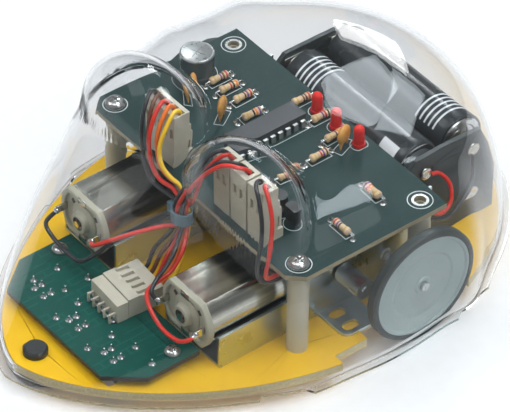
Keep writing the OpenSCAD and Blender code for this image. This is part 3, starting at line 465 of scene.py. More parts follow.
WIRE_R = 0.6
TIE = (3.5, -23.3, 34.0)
BUNDLE_R = 1.85
MOUTH_Y = -14.0
PLUG_TOP = 55.0
PITCH = 2.54
SENSOR_PLUG_X = -21.5
SUPPLY_X = (11.3, 18.5, 25.7)
LYING_X, LYING_Y, LYING_TURN = 1.3, -44.0, radians(-4)
SENSOR_UPPER = [
    [(-19.6, -16.4, 56.9), (-17.6, -19.6, 55.6), (-15.8, -22.2, 51.4), (-14.8, -23, 45.5),
     (-12.8, -23.4, 39.8), (-8.6, -23.7, 36.6), (-3, -23.6, 36.6)],
    [(-17.2, -16.3, 56.8), (-15.6, -19.2, 55.2), (-14, -21.4, 51), (-13.1, -22, 45.8),
     (-11.1, -22.3, 40.6), (-7.1, -22.5, 37.9), (-1.8, -22.3, 38.2)],
    [(-14.7, -16.4, 56.6), (-13.6, -19.6, 54.6), (-12.2, -22.4, 50.6), (-11.3, -23.2, 46),
     (-9.4, -23.6, 41.6), (-5.6, -23.6, 39.3), (-0.4, -23.4, 39.8)],
    [(-12.2, -16.2, 56.5), (-11.1, -19.2, 54.2), (-10.2, -21.4, 50.4), (-9.3, -22, 46.2),
     (-7.4, -22.4, 42.6), (-3.7, -22.3, 40.9), (0.9, -22.1, 41)],
    [(-9.6, -16.4, 56.4), (-8.6, -19.6, 53.8), (-8, -22, 50), (-7.3, -22.8, 46.6),
     (-5.2, -23.2, 43.8), (-1.6, -23, 42.4), (2.6, -22.6, 42)],
]
SENSOR_LOWER = [
    [(-0.3, -25, 25.5), (-3.3, -27.7, 19.4)],
    [(1.4, -24.5, 25.3), (-0.6, -27.5, 19.4)],
    [(2.7, -24.9, 25.5), (1.7, -27.7, 19.4)],
    [(4, -24.3, 25.3), (4.4, -27.5, 19.3)],
    [(5.7, -24.4, 25.4), (6.8, -27.6, 19.4)],
]
MOTOR_UPPER = [
    [(12.2, -16.1, 56.7), (10.6, -18.2, 54.6), (8.5, -20.5, 49.6), (6.9, -22.2, 42)],
    [(9.6, -16.6, 56.4), (7.9, -19, 53.6), (6.5, -21.5, 47.9), (5.8, -23.6, 41.3)],
    [(18.6, -16.6, 57), (14.9, -19.4, 56.6), (10.6, -22.2, 51.4), (6.3, -25, 43)],
    [(16, -16.3, 56.7), (12.4, -18.8, 55.3), (8.6, -22, 49.5), (4.1, -24.9, 41.7)],
]
MOTOR_LOWER = [
    [(6.4, -24.5, 29), (8.8, -27.8, 26.4), (9.6, -32, 23), (10.2, -36.4, 22.4), (11.2, -40.9, 22),
     (15, -43.4, 21), (21, -44.2, 18.4), (27.4, -44, 18.4), (30.4, -42.6, 19.6),
     (30.5, -40.2, 20.2)],
    [(5.4, -26, 28.8), (8, -29.8, 26.8), (9.2, -33.6, 24.6), (10.8, -37.6, 24),
     (12.6, -40.7, 22.6), (14.5, -40.2, 20.6)],
    [(1.6, -27.4, 30.6), (0, -31, 30.4), (-2.6, -35, 29), (-7, -39, 25.6), (-11.4, -41.6, 22),
     (-14.5, -40.2, 20.2)],
    [(-0.6, -26.7, 29), (-3.6, -30.5, 27), (-7.4, -36, 24.8), (-10.6, -41, 19.6),
     (-14.6, -43.8, 15.2), (-20, -44.4, 14.8), (-26.4, -44.2, 15.4), (-30.6, -43.6, 17.4),
     (-30.5, -40.2, 19.8)],
]
BATTERY_ROUTES = [
    [(27, -14, 53.1), (27.1, -14.3, 55.5), (28.6, -16, 57), (32, -17.4, 56), (35, -18.6, 51.4),
     (36.4, -20, 46), (37.2, -21.4, 41), (37, -22, 36.6), (36.2, -20.5, 33.4),
     (35.6, -14, 32.6), (35.6, -4, 33), (35.6, 8, 33), (35.6, 20, 33), (35.6, 28, 30.6),
     (35.6, 34, 26), (35.8, 38.4, 23.6), (35, 42.6, 25.4), (32.6, 44.2, 29), (30, 42.6, 31.6),
     (29.4, 40, 32)],
    [(24.4, -14, 53.1), (24.5, -14.3, 55.5), (26.2, -17, 56.6), (30, -18.8, 54),
     (32.6, -20, 49), (34, -21.4, 44), (34.8, -22.8, 39.6), (34.9, -23, 35), (35.2, -21, 31.6),
     (35.6, -14, 30.4), (35.6, -4, 30.8), (35.6, 8, 31), (35.6, 20, 31), (35.6, 28, 28.6),
     (35.6, 34, 23.6), (35.4, 41, 20.6), (34, 48, 22), (31.6, 52, 24.6), (30.6, 53, 27.6),
     (29.4, 54, 31)],
]


def in_tie(slot, z):
    """Centre of one wire in the bundle; slot -1 is the middle of it."""
    if slot < 0:
        return (TIE[0], TIE[1], z)
    a = radians(45 * slot)
    return (TIE[0] + BUNDLE_R * cos(a), TIE[1] + BUNDLE_R * sin(a), z)


def lying_point(x, y, z):
    """Point by the lying plug, given along and across it."""
    c, s = cos(LYING_TURN), sin(LYING_TURN)
    return (LYING_X + x * c - y * s, LYING_Y + x * s + y * c, z)


def plug_start(x):
    """Where a wire leaves its plug on the main board."""
    return [(x, MOUTH_Y, PLUG_TOP - 1.9), (x, MOUTH_Y - 0.2, PLUG_TOP + 0.4)]


def through_tie(slot):
    """The wire's points above and below the tie."""
    return [in_tie(slot, TIE[2] + side * 2.6) for side in (1, -1)]


def sensor_route(i):
    x = SENSOR_PLUG_X + PITCH / 2 + i * PITCH
    off = (i - 2) * PITCH
    return (plug_start(x) + SENSOR_UPPER[i] + through_tie((4, 3, -1, 2, 1)[i]) + SENSOR_LOWER[i]
            + [lying_point(off, 13, 14.8), lying_point(off, 9.8, 14.6)])


def motor_route(i):
    x = SUPPLY_X[i // 2] + (PITCH / 2 if i % 2 == 0 else -PITCH / 2)
    return plug_start(x) + MOTOR_UPPER[i] + through_tie((0, 7, 6, 5)[i]) + MOTOR_LOWER[i]


def insulation(name, color):
    return material(name, color, 0.32, vary=0.07, grain=900, bump=0.03, specular_ior_level=0.55)


def wire_shape(route):
    shape = Shape()
    shape.tube(smooth_path(route), WIRE_R)
    return shape


def make_wires():
    """Coloured wires; each motor wire ends in a blob of solder on its terminal."""
    red = insulation("wire_red", (0.62, 0.028, 0.015))
    black = insulation("wire_black", (0.02, 0.022, 0.024))
    colors = [black, insulation("wire_brown", (0.13, 0.045, 0.02)), red,
              insulation("wire_orange", (0.75, 0.16, 0.015)),
              insulation("wire_yellow", (0.85, 0.52, 0.02))]
    for i, cover in enumerate(colors):
        wire_shape(sensor_route(i)).piece("sensor_wire_%d" % (i + 1), [cover], ["sensor_wires"],
                                          "wire_cover")
    bright = solder_metal()
    joint_reach, largest_joint_face = 1.6, 0.12
    for i in range(4):
        route = motor_route(i)
        shape, end = wire_shape(route), Vector(route[-1])
        shape.lathe(blob(0.95, 1.5), aim_matrix(end + Vector((0, 0.9, 0)), (0, -1, 0.2)), 16)
        for face in shape.mesh.faces:
            near = (face.calc_center_median() - end).length < joint_reach
            face.material_index = int(near and face.calc_area() < largest_joint_face)
        shape.piece("motor_wire_%d" % (i + 1), [red if i % 2 == 0 else black, bright],
                    ["motor_wires"], "wire_cover")
    for i, cover in enumerate((red, black)):
        wire_shape(BATTERY_ROUTES[i]).piece("battery_wire_%d" % (i + 1), [cover],
                                            ["battery_wires"], "wire_cover")


def blob(radius, height):
    """Profile of a rounded blob of solder."""
    return [(0, 0, 0)] + [(radius * sin(a) ** 0.8, height * (0.5 - 0.5 * cos(a)), 0)
                          for a in (pi * k / 8 for k in range(1, 8))] + [(0, height, 0)]


def solder_metal():
    return material("solder", (0.66, 0.67, 0.68), 0.2, metal=1, vary=0.1, grain=2500, bump=0.15)


# -------- small parts on the main board

BOARD_TOP = 37.2
SCREW_X, SCREW_Y = (-39.84, 39.84), (-13.5, 27)
CAN_AT, CHIP_AT, TRANSISTOR_X, TRANSISTOR_Y = (-36, 11.6), (-4.8, 10.45), (9, 15, 21, 27), -4.6
RESISTORS = [(-30, 14.4, 0), (-25.4, 14.3, 0), (-20, 14.9, 0), (-12.7, 12.3, 0), (-9.4, 26.6, 0),
             (-0.8, 26.4, 0), (7.4, 24.4, 0), (11.1, 16.2, 0), (11.3, 6.2, 0), (30.5, 18.7, 90),
             (36.5, 3.4, 90)]
DISCS = [(-29.8, 5.4, 50), (-17.7, 6, 35), (11.4, 24.4, 20)]
LEDS = [(-3.9, 27.6), (4.2, 27.6), (13.4, 28)]
BANDS = [(1, 2, 3), (4, 5, 1), (1, 3, 2), (3, 4, 5), (1, 2, 2), (5, 1, 3), (4, 4, 2), (2, 3, 1),
         (1, 1, 2), (3, 1, 4), (1, 3, 5)]


def on_board(x, y, turn):
    """Matrix of a part that stands on the main board, turned by so many degrees."""
    return turned(Matrix.Translation((x, y, BOARD_TOP)), turn)


def resistor_band_materials():
    """Body and band lacquers, which BANDS numbers from 0, and the leads' tin."""
    colors = (("resistor_beige", (0.60, 0.43, 0.25)), ("band_red", (0.50, 0.03, 0.02)),
              ("band_brown", (0.12, 0.04, 0.02)), ("band_violet", (0.16, 0.05, 0.22)),
              ("band_orange", (0.75, 0.2, 0.02)), ("band_black", (0.015, 0.015, 0.015)),
              ("band_gold", (0.55, 0.36, 0.1)))
    made = [material(name, color, 0.28, vary=0.05, grain=1200, coat_weight=0.3)
            for name, color in colors]
    return made + [material("tinned_lead", (0.6, 0.6, 0.58), 0.25, metal=1, vary=0.08, grain=2500)]


def resistor_profile(bands):
    """Dog-bone body whose colour bands are rings of the same lathe; the last band is gold."""
    half, waist, swell, rounding = 3.1, 0.92, 0.2, 0.75

    def radius(h):
        end = max(0.0, min(1.0, (abs(h) - 1.0) / 0.9))
        cap = max(0.0, (abs(h) - (half - rounding)) / rounding)
        return (waist + swell * end * end * (3 - 2 * end)) * math.sqrt(max(1 - cap * cap, 0.0))

    gold, width = 6, 0.5
    marks = [(-2.05, bands[0]), (-1.1, bands[1]), (-0.3, bands[2]), (1.75, gold)]
    heights = sorted({round(-half + 2 * half * k / 36, 3) for k in range(37)}
                     | {round(m - width / 2, 3) for m, _ in marks}
                     | {round(m + width / 2, 3) for m, _ in marks})
    profile = []
    for a, b in zip(heights, heights[1:] + [half]):
        middle = (a + b) / 2
        band = next((c for m, c in marks if abs(middle - m) < width / 2), 0)
        profile.append((radius(a) if abs(a) < half - 1e-6 else 0, a, band))
    return profile


def make_resistors():
    """Resistors a little askew, with leads bent down into cones of solder."""
    shape = Shape()
    rng = random.Random(4)
    lift, lead_r, foot, tin = 1.25, 0.27, 4.6, 7
    for (x, y, turn), bands in zip(RESISTORS, BANDS):
        at = turned(on_board(x, y, turn), rng.uniform(-2.5, 2.5))
        shape.lathe(resistor_profile(bands),
                    turned(at @ Matrix.Translation((0, 0, lift)), 90, "X"), 24)
        for side in (-1, 1):
            lead = [(2.9, lift), (3.9, lift), (4.3, lift - 0.12), (4.55, lift - 0.45),
                    (foot, lift - 0.8), (foot, 0.02)]
            shape.tube([at @ Vector((0, side * out, z)) for out, z in lead], lead_r, 10, tin)
            shape.lathe([(0.85, 0.0, tin), (0.6, 0.12, tin), (0.4, 0.4, tin), (lead_r, 0.7, tin)],
                        at @ Matrix.Translation((0, side * foot, 0)), 16)
    shape.piece("resistor_set", resistor_band_materials(), ["resistors"], "resistor_ceramic")


def make_disc_capacitors():
    """Rounded discs on edge; the dip runs down their legs and thins out."""
    shape = Shape()
    radius, thick, lift, steps = 2.85, 1.05, 1.35, 12
    profile = [(radius * sin(a) ** 0.55 if 0 < k < steps else 0,
                -thick * cos(a) * (0.75 + 0.25 * abs(cos(a))), 0)
               for k, a in ((k, pi * k / steps) for k in range(steps + 1))]
    for x, y, turn in DISCS:
        at = on_board(x, y, turn)
        shape.lathe(profile, turned(at @ Matrix.Translation((0, 0, radius + lift)), 90, "Y"), 40)
        for side in (-1, 1):
            leg = [(1.2, 3.0), (1.35, 2.0), (1.5, 1.2), (1.6, 0.6), (1.6, 0.02)]
            shape.tube([at @ Vector((0, side * out, z)) for out, z in leg], 0.55, 12, 0,
                       (1.4, 1.2, 0.9, 0.55, 0.5))
    tan = material("dipped_ceramic", (0.56, 0.27, 0.055), 0.25, vary=0.16, grain=1300, bump=0.08,
                   coat_weight=0.4)
    shape.piece("disc_capacitor_set", [tan], ["disc_capacitors"], "capacitor_ceramic")


def make_can_capacitor():
    """Aluminium can with a rolled rim, a pressed cross on top and a groove near its foot; the
    cross is drawn as darker lines, painted shade of its pressed grooves.
    """
    shape = Shape()
    low, high = (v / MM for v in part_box("buffer_capacitor"))
    at = Matrix.Translation(((low.x + high.x) / 2, (low.y + high.y) / 2, low.z))
    r = (high.x - low.x) / 2
    top = high.z - low.z
    groove = [(r - 0.32 * sin(pi * k / 6), 1.5 + 0.9 * k / 6, 0) for k in range(7)]
    roll = [(r - 0.5 + 0.5 * cos(a), top - 0.5 + 0.5 * sin(a), 1)
            for a in (pi / 2 * k / 5 for k in range(6))]
    shape.lathe([(0, 0, 0), (r - 0.3, 0, 0), (r, 0.3, 0), *groove, (r, top - 0.55, 1), *roll,
                 (r - 0.95, top - 0.12, 1), (r - 1.2, top - 0.2, 1), (0, top - 0.2, 1)], at, 64)
    # The cross is thin raised lines in a darker grey, painted shade of the pressed grooves.
    for turn in (20, 110):
        shape.block((-2.5, -0.11, top - 0.21), (2.5, 0.11, top - 0.14), 2, 0.03, turned(at, turn))
    sleeve = material("can_sleeve", (0.05, 0.075, 0.08), 0.22, vary=0.1, coat_weight=0.3)
    top_metal = material("can_top", (0.42, 0.44, 0.43), 0.3, metal=0.85, vary=0.08, grain=900,
                         bump=0.05)
    # Darker grey of the cross: painted shade.
    cross_shade = material("can_score", (0.2, 0.21, 0.21), 0.4, metal=0.6)
    shape.piece("can_capacitor", [sleeve, top_metal, cross_shade], ["buffer_capacitor"],
                "capacitor_can")


def make_leds():
    """Tinted lenses with their flanges, painted brighter towards the tip as painted light, with a
    faint painted red glow.
    """
    radius, tip, foot = 1.5, 6.7, 0.037
    arc = [pi / 2 * k / 8 for k in range(8)]
    dome = [(radius * cos(a), 5.2 + radius * sin(a), 0) for a in arc] + [(0, tip, 0)]
    shape = Shape()
    for x, y in LEDS:
        shape.lathe([(0, 0.02, 0), (1.85, 0.02, 0), (1.9, 0.1, 0), (1.9, 0.9, 0), (1.82, 1.0, 0),
                     (1.56, 1.02, 0), (radius, 1.1, 0), *dome], on_board(x, y, 0), 40)
    tree = Tree("red_lens")
    # Painted light: the red runs from dark at the lens's foot to bright at its tip.
    tree.color(tree.blend(tree.axis(2), (0.42, 0.006, 0.006), (0.78, 0.03, 0.02), foot, 0.0442))
    tree.rough(tree.noise(1500), 0.08, 0.14)
    # The faint red emission is a painted glow.
    tree.set(transmission_weight=0.25, emission_color=(0.6, 0.01, 0.01, 1), emission_strength=0.12)
    shape.piece("status_lamp_lenses", [tree.material], ["status_leds"], "red_lens")


def ring_loop(x, y, radius, count=40, flat=None):
    """Round outline, cut off straight at flat to the right of its middle."""
    loop = []
    for k in range(count):
        a = TAU * k / count
        px = x + radius * cos(a)
        if flat is not None:
            px = min(px, x + flat)
        loop.append((px, y + radius * sin(a)))
    return loop


def box_loop(x, y, half_x, half_y, turn):
    c, s = cos(radians(turn)), sin(radians(turn))
    corners = ((half_x, half_y), (-half_x, half_y), (-half_x, -half_y), (half_x, -half_y))
    return [(x + px * c - py * s, y + px * s + py * c) for px, py in corners]


def make_printing():
    """Printed outlines round the parts and rings round the screw holes; no lettering."""
    shape = Shape()
    thick, line = 0.03, 0.18

    def printed(outline, inline):
        shape.strip(outline, inline, BOARD_TOP, thick)

    def box(x, y, half_x, half_y, turn=0):
        printed(box_loop(x, y, half_x, half_y, turn),
                box_loop(x, y, half_x - line, half_y - line, turn))

    for x in SCREW_X:
        for y in SCREW_Y:
            printed(ring_loop(x, y, 3.5), ring_loop(x, y, 3.5 - line * 1.4))
            shape.strip(ring_loop(x, y, 2.35), ring_loop(x, y, 1.62), BOARD_TOP, thick * 1.4, 1)
    for x, y, turn in RESISTORS:
        box(x, y, 1.5, 3.5, turn)
    for x, y, turn in DISCS:
        box(x, y, 1.6, 3.3, turn)
    for x, y in LEDS:
        printed(ring_loop(x, y, 2.5, 32, 2.0), ring_loop(x, y, 2.5 - line, 32, 2.0 - line))
    printed(ring_loop(*CAN_AT, 5.6), ring_loop(*CAN_AT, 5.6 - line))
    box(*CHIP_AT, 5.0, 12.3)
    for x in TRANSISTOR_X:
        printed(ring_loop(x, TRANSISTOR_Y, 3.0, 32), ring_loop(x, TRANSISTOR_Y, 3.0 - line, 32))
    white = material("silk_white", (0.62, 0.66, 0.64), 0.6, vary=0.1, grain=3000)
    pad = material("tinned_pad", (0.55, 0.56, 0.54), 0.3, metal=1, vary=0.12, grain=2000)
    shape.piece("board_outlines", [white, pad], slot="circuit_board")


# -------- cells and springs

CELL_R = 7.25
CELL_HALF = 25.25
CELL_SHIFT = 1.3
CELL_Y = {"front": 38.6, "rear": 54.7}
CELL_Z = {"upper": 32.3, "lower": 17.0}
BUTTON_SIDES = (("upper", "front", 1), ("upper", "rear", -1), ("lower", "front", -1),
                ("lower", "rear", 1))


def make_cells():
    """Sleeved cells: bands and a label patch in the sleeve, crimped can ends and a button."""
    sleeve = material("cell_sleeve", (0.020, 0.026, 0.028), 0.24, vary=0.06, grain=260)
    white = material("cell_white", (0.62, 0.65, 0.66), 0.3, vary=0.05)
    red = material("cell_red", (0.45, 0.03, 0.02), 0.3)
    can = material("cell_can", (0.75, 0.75, 0.74), 0.18, metal=1, vary=0.06, grain=1400, bump=0.05)
    grey = material("cell_grey", (0.25, 0.29, 0.31), 0.35, vary=0.1)
    wrap, light, mark, metal, seal = range(5)
    h, r = CELL_HALF, CELL_R
    stripe_wide, patch, ring, sleeve_end = 0.62, h - 10.5, h - 4.4, h - 2.15
    stripes = [-h + 4.2 + 1.75 * k for k in range(5)]
    profile = [(x, -h + z, metal) for x, z in ((0, 0.3), (4.6, 0.3), (4.9, 0.05), (6.2, 0.05))]
    profile += [(x, -h + z, wrap) for x, z in ((6.55, 0.4), (r - 0.12, 0.45), (r, 0.7))]
    for start in stripes:
        profile += [(r, z, wrap) for z in (start, start + 0.01, start + stripe_wide)]
    profile += [(r, z, wrap) for z in (patch, ring, sleeve_end)] + [(r - 0.1, h - 1.9, wrap)]
    profile += [(x, h - z, metal) for x, z in ((r - 0.45, 1.6), (r - 0.75, 1.42), (5.6, 1.4))]
    profile += [(5.3, h - 1.75, seal)]
    profile += [(x, h - z, metal) for x, z in ((3.2, 1.75), (2.85, 1.3), (2.75, 0.25), (2.5, 0),
                                               (0, 0))]
    for row, column, side in BUTTON_SIDES:
        middle = Vector((side * CELL_SHIFT, CELL_Y[column], CELL_Z[row]))
        at = aim_matrix(middle, (side, 0, 0))
        shape = Shape()
        shape.lathe(profile, at, 72)
        for face in shape.mesh.faces:
            spot = face.calc_center_median() - middle
            along = spot.x * side
            turn = math.degrees(math.atan2(spot.z, -spot.y * side)) % 360
            if abs(spot.yz.length - r) > 0.1:
                continue
            if any(start < along < start + stripe_wide for start in stripes) and 20 < turn < 150:
                face.material_index = light
            if patch < along < ring and 20 < turn < 62:
                face.material_index = light
            if ring < along < h - 2.2:
                face.material_index = mark if 8 < turn < 30 else wrap
        shape.piece("%s_cell_%s" % (row, column), [sleeve, white, red, can, grey],
                    [row + "_cells"], "cell_wrap")


def make_springs():
    """Conical coil springs of wire, widest against the wall's contact plate."""
    steel = material("spring_wire", (0.62, 0.62, 0.6), 0.2, metal=1, vary=0.06, grain=2400)
    shape = Shape()
    turns, steps, height, clear = 3.6, 110, 2.1, 0.32
    for row, column, button in BUTTON_SIDES:
        side = -button
        foot = (side * (CELL_HALF - CELL_SHIFT), CELL_Y[column], CELL_Z[row])
        at = aim_matrix(foot, (side, 0, 0))
        points = []
        for k in range(steps + 1):
            t = k / steps
            r = 2.2 + 1.75 * t
            points.append(at @ Vector((r * cos(TAU * turns * t), r * sin(TAU * turns * t),
                                       clear + height * t)))
        shape.tube(points, 0.24, 8)
    shape.piece("coil_springs", [steel], ["battery_springs"], "spring_steel")


# -------- header pins

def make_pins():
    """Bent pins from the lying header to their solder on the sensor board's pads."""
    shape = Shape()
    pad_y, pad_z = -4.25, 11.45
    bend = ((-2.6, 13.4), (-3.6, 13.4), (-4.1, 13.1), (pad_y, 12.6), (pad_y, 11.6))
    for i in range(5):
        x = (i - 2) * PITCH
        shape.tube([lying_point(x, y, z) for y, z in bend], 0.3, 8)
        shape.lathe(blob(0.8, 0.7), Matrix.Translation(lying_point(x, pad_y, pad_z)), 16)
    shape.piece("header_pins", [solder_metal()], slot="solder")


# -------- motor end caps

MOTOR_X, MOTOR_Z, MOTOR_R, MOTOR_FLAT, CAN_FRONT = 22.5, 20.2, 10.0, 7.5, -35.5


def cap_loop(inset, depth):
    """Round outline with two flats, drawn in from the can's and depth in front of its mouth."""
    r, flat, count = MOTOR_R - inset, MOTOR_FLAT - inset, 96
    return [Vector((r * cos(a), max(-flat, min(flat, r * sin(a))), depth))
            for a in (TAU * k / count for k in range(count))]


def make_motor_caps():
    """Moulded end caps: lipped rim, sunk face with vents, bearing boss and folded can tabs."""
    nylon = material("cap_nylon", (0.40, 0.39, 0.30), 0.34, vary=0.08, grain=700, bump=0.06)
    dark = material("cap_shadow", (0.05, 0.05, 0.04), 0.5, vary=0.1)
    bronze = material("bearing_bronze", (0.24, 0.19, 0.12), 0.3, metal=0.8, vary=0.1)
    for side, name in ((1, "left"), (-1, "right")):
        at = aim_matrix((side * MOTOR_X, CAN_FRONT, MOTOR_Z), (0, -1, 0))
        shape = Shape()
        rings = [(0.62, -1.5), (0.62, 0), (0, 0), (0, 1.3), (0.15, 1.62), (0.45, 1.78),
                 (1.35, 1.78), (1.6, 1.6), (1.75, 0.95)]
        shape.loft([[at @ p for p in cap_loop(inset, depth)] for inset, depth in rings])
        shape.lathe([(5.3, 0.9, 0), (5.2, 1.2, 0), (4.9, 1.35, 0), (3.7, 1.5, 0), (3.3, 1.75, 0),
                     (3.1, 2.3, 0), (3.05, 3.1, 0), (2.85, 3.35, 0), (2.0, 3.4, 1), (1.75, 3.1, 2),
                     (1.2, 2.9, 2), (1.1, 0.2, 2)], at, 48)
        for angle in (35, 145, 215, 325):
            shape.block((5.5, -0.8, 0.7), (6.9, 0.8, 0.99), 1, 0.1, turned(at, angle))
        for angle in (90, 270):
            spin = turned(at, angle)
            shape.block((5.6, -1.7, 1.55), (7.45, 1.7, 1.95), 3, 0.15, spin)
            shape.block((5.4, -0.9, 1.0), (6.0, 0.9, 1.75), 0, 0.15, spin)
        shape.piece(name + "_motor_cap", [nylon, dark, bronze, motor_can_metal()],
                    ["motor_end_caps"], "cap_nylon")


# -------- dome

PLATE_HALF, PLATE_NOSE, PLATE_TAIL, PLATE_Y = 53.6, 83, 69, 7
DOME_T, DOME_H, RIM_W, SKIRT_GAP = 1.0, 54.5, 2.2, 0.4
FOOT, SKIRT_TOP, PLATE_LOW, RIM_T, CREST_Y = 8.6, 7.4, 5.0, 0.8, 12.0
RIM_CUTS, CUT_W, CUT_RAMP = ((-31, -19), (28.5, 40)), 0.3, 0.6
EYE, EYE_SIZE, EYE_TURN = (21.9, -16.4, 44.6), (21.6, 13.8, 19.5), radians(-2)
EYE_WALL, EYE_BLEND = 4, 2.5


def outline_point(a, grow):
    """The plate's outline grown by so much: it narrows to the nose and is round at the tail."""
    w, f, r = PLATE_HALF + grow, PLATE_NOSE + grow, PLATE_TAIL + grow
    c, s = cos(a), sin(a)
    if s < 0:
        return w * abs(c) ** (2 / 1.5) * (1 if c > 0 else -1), PLATE_Y - f * (-s) ** (2 / 1.9)
    return w * c, PLATE_Y + r * s ** (2 / 2.05)


def shell_outline(a, grow):
    """The dome's outline: the plate's, let out a little at two places on each side."""
    x, y = outline_point(a, SKIRT_GAP + grow)
    arch = 3.2 * math.exp(-((y - 36) / 8) ** 2) + 1.6 * math.exp(-((y + 21) / 9) ** 2)
    if abs(x) > 1e-4:
        x += math.copysign(arch, x)
    return x, y


def fullness(a, nose, side, tail):
    """Value that goes from nose over side to tail with the angle."""
    n, t = max(-sin(a), 0) ** 0.8, max(sin(a), 0) ** 1.4
    return nose * n + tail * t + side * (1 - n - t)


def crown_height(a, s, inset):
    """Crown without the eyes; s goes from 0 at the crest to 1 at the skirt."""
    drop = max(1 - s ** fullness(a, 2.5, 5.6, 7.8), 0.0)
    return FOOT - inset * 0.4 + (DOME_H - inset - FOOT) * drop ** (1 / fullness(a, 0.9, 3.2, 0.95))


def eye_height(x, y, inset):
    """Top half of the eye's ellipsoid, and a steep cone outside it."""
    u, v = abs(x) - EYE[0], y - EYE[1]
    c, s = cos(EYE_TURN), sin(EYE_TURN)
    e = (u * c + v * s) / (EYE_SIZE[0] - inset)
    f = (v * c - u * s) / (EYE_SIZE[1] - inset)
    d = e * e + f * f
    rise = math.sqrt(1 - d) if d < 1 else EYE_WALL * (1 - math.sqrt(d))
    return EYE[2] + (EYE_SIZE[2] - inset) * rise


def shell_point(a, s, inset):
    """Point of the outer face, or of the inner one at inset DOME_T; eyes blend into the crown."""
    ox, oy = shell_outline(a, DOME_T - inset)
    x, y = ox * s, CREST_Y + (oy - CREST_Y) * s
    z = crown_height(a, s, inset)
    if s < 1:
        e = eye_height(x, y, inset)
        m = max(z, e)
        both = math.exp((z - m) / EYE_BLEND) + math.exp((e - m) / EYE_BLEND)
        z = m + math.log(both) * EYE_BLEND
    return x, y, z


def graded(marks):
    """Values from mark to mark; a mark is (value, how many equal steps lead on from it)."""
    values = []
    for (low, count), (high, _) in zip(marks, marks[1:]):
        values += [low + (high - low) * k / count for k in range(count)]
    return values


def make_dome():
    """The clear shell with both faces, its skirt and its turned-out rim, in a fine mesh."""
    angles = [radians(a) for a in graded([(-160, 300), (-20, 180), (200, 0)])]
    steps = graded([(0, 14), (0.18, 130), (0.7, 18), (0.88, 12), (0.96, 10), (0.99, 8), (1, 0)])
    steps = steps[1:] + [1]
    around = len(angles)

    def skirt(inset, z):
        return [(*shell_outline(a, DOME_T - inset), z) for a in angles]

    def gate(y, low, high):
        return max(0.0, min(1.0, (y - low) / CUT_RAMP, (high - y) / CUT_RAMP))

    def rim(z):
        loop = []
        for a in angles:
            y = outline_point(a, 0)[1]
            cut = max(gate(y, *span) for span in RIM_CUTS)
            loop.append((*shell_outline(a, DOME_T + RIM_W + (CUT_W - RIM_W) * cut), z))
        return loop

    rim_top, fillet = PLATE_LOW + RIM_T, 0.25
    loops = [[shell_point(a, s, 0) for a in angles] for s in steps]
    loops += [skirt(0, SKIRT_TOP), skirt(0, rim_top + fillet), skirt(-fillet, rim_top)]
    loops += [rim(rim_top), rim(PLATE_LOW), skirt(DOME_T, PLATE_LOW), skirt(DOME_T, SKIRT_TOP)]
    loops += [[shell_point(a, s, DOME_T) for a in angles] for s in reversed(steps)]
    shape = Shape()
    new = shape.mesh.verts.new
    rows = [[new(p) for p in loop] for loop in loops]
    top, under = new(shell_point(0, 0, 0)), new(shell_point(0, 0, DOME_T))
    for i in range(around):
        j = (i + 1) % around
        shape.mesh.faces.new((top, rows[0][i], rows[0][j]))
        shape.mesh.faces.new((under, rows[-1][j], rows[-1][i]))
        for a, b in zip(rows, rows[1:]):
            shape.mesh.faces.new((a[i], b[i], b[j], a[j]))
    low, high = ([c * 1000 for c in corner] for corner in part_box("dome_shell"))
    for vertex in shape.mesh.verts:
        vertex.co = [max(a, min(b, c)) for a, b, c in zip(low, high, vertex.co)]
    shape.piece("clear_dome", [clear_plastic()], ["dome_shell"], "clear_shell", "dome", 60)


# -------- looks of the CAD pieces

def soften(width, *names):
    """Small rounded edges on CAD pieces, as modifiers that leave their meshes alone."""
    for name in names:
        piece = NODES[name]
        weld = piece.modifiers.new("weld", "WELD")
        weld.merge_threshold = 1e-6
        bevel = piece.modifiers.new("round_edges", "BEVEL")
        bevel.width = width * MM
        bevel.segments = 2
        bevel.limit_method = "ANGLE"
        bevel.angle_limit = radians(32)
        bevel.use_clamp_overlap = True
        normals = piece.modifiers.new("normals", "WEIGHTED_NORMAL")
        normals.keep_sharp = False
        normals.weight = 60


def paint(item, *names):
    """One material all over CAD pieces."""
    for name in names:
        data = NODES[name].data
        data.materials.clear()
        data.materials.append(item)
        for face in data.polygons:
            face.material_index = 0


def motor_can_metal():
    """Drawn, plated can with long streaks along it."""
    tree = Tree("motor_can_metal")
    tree.set(metallic=1)
    streak = tree.noise(420, 3, (1, 0.04, 1))
    tree.color(tree.blend(streak, (0.44, 0.44, 0.38), (0.68, 0.67, 0.58), 0.35, 0.65))
    tree.rough(streak, 0.16, 0.27)
    tree.bump(tree.noise(2600, 2), 0.04, 0.00005)
    return tree.material


def frame_metal():
    """Plated sheet with a slow drift in its colour and polish."""
    tree = Tree("gear_frame_sheet")
    tree.set(metallic=1)
    drift = tree.noise(110, 4)
    tree.color(tree.blend(drift, (0.52, 0.59, 0.61), (0.66, 0.73, 0.75)))
    tree.rough(drift, 0.24, 0.38)
    tree.bump(tree.noise(3000, 2), 0.04, 0.00005)
    return tree.material


def tyre_material():
    """Black rubber with a fine grain."""
    tree = Tree("tyre_rubber")
    fine = tree.noise(2600, 3)
    tree.color(tree.blend(fine, (0.010, 0.018, 0.017), (0.022, 0.034, 0.032)))
    tree.rough(fine, 0.36, 0.52)
    tree.bump(fine, 0.10, 0.00006)
    return tree.material


def wheel_material():
    """Milky moulded disc that lets a little light through."""
    tree = Tree("wheel_plastic")
    tree.color(tree.blend(tree.noise(60, 3), (0.33, 0.41, 0.40), (0.39, 0.475, 0.465)))
    tree.rough(tree.noise(1600, 2), 0.26, 0.36)
    tree.set(subsurface_weight=0.25, subsurface_radius=(1, 1, 1), subsurface_scale=0.0015)
    return tree.material


def pairs(*names):
    """The left and the right piece of each name."""
    return [side + name for name in names for side in ("left_", "right_")]


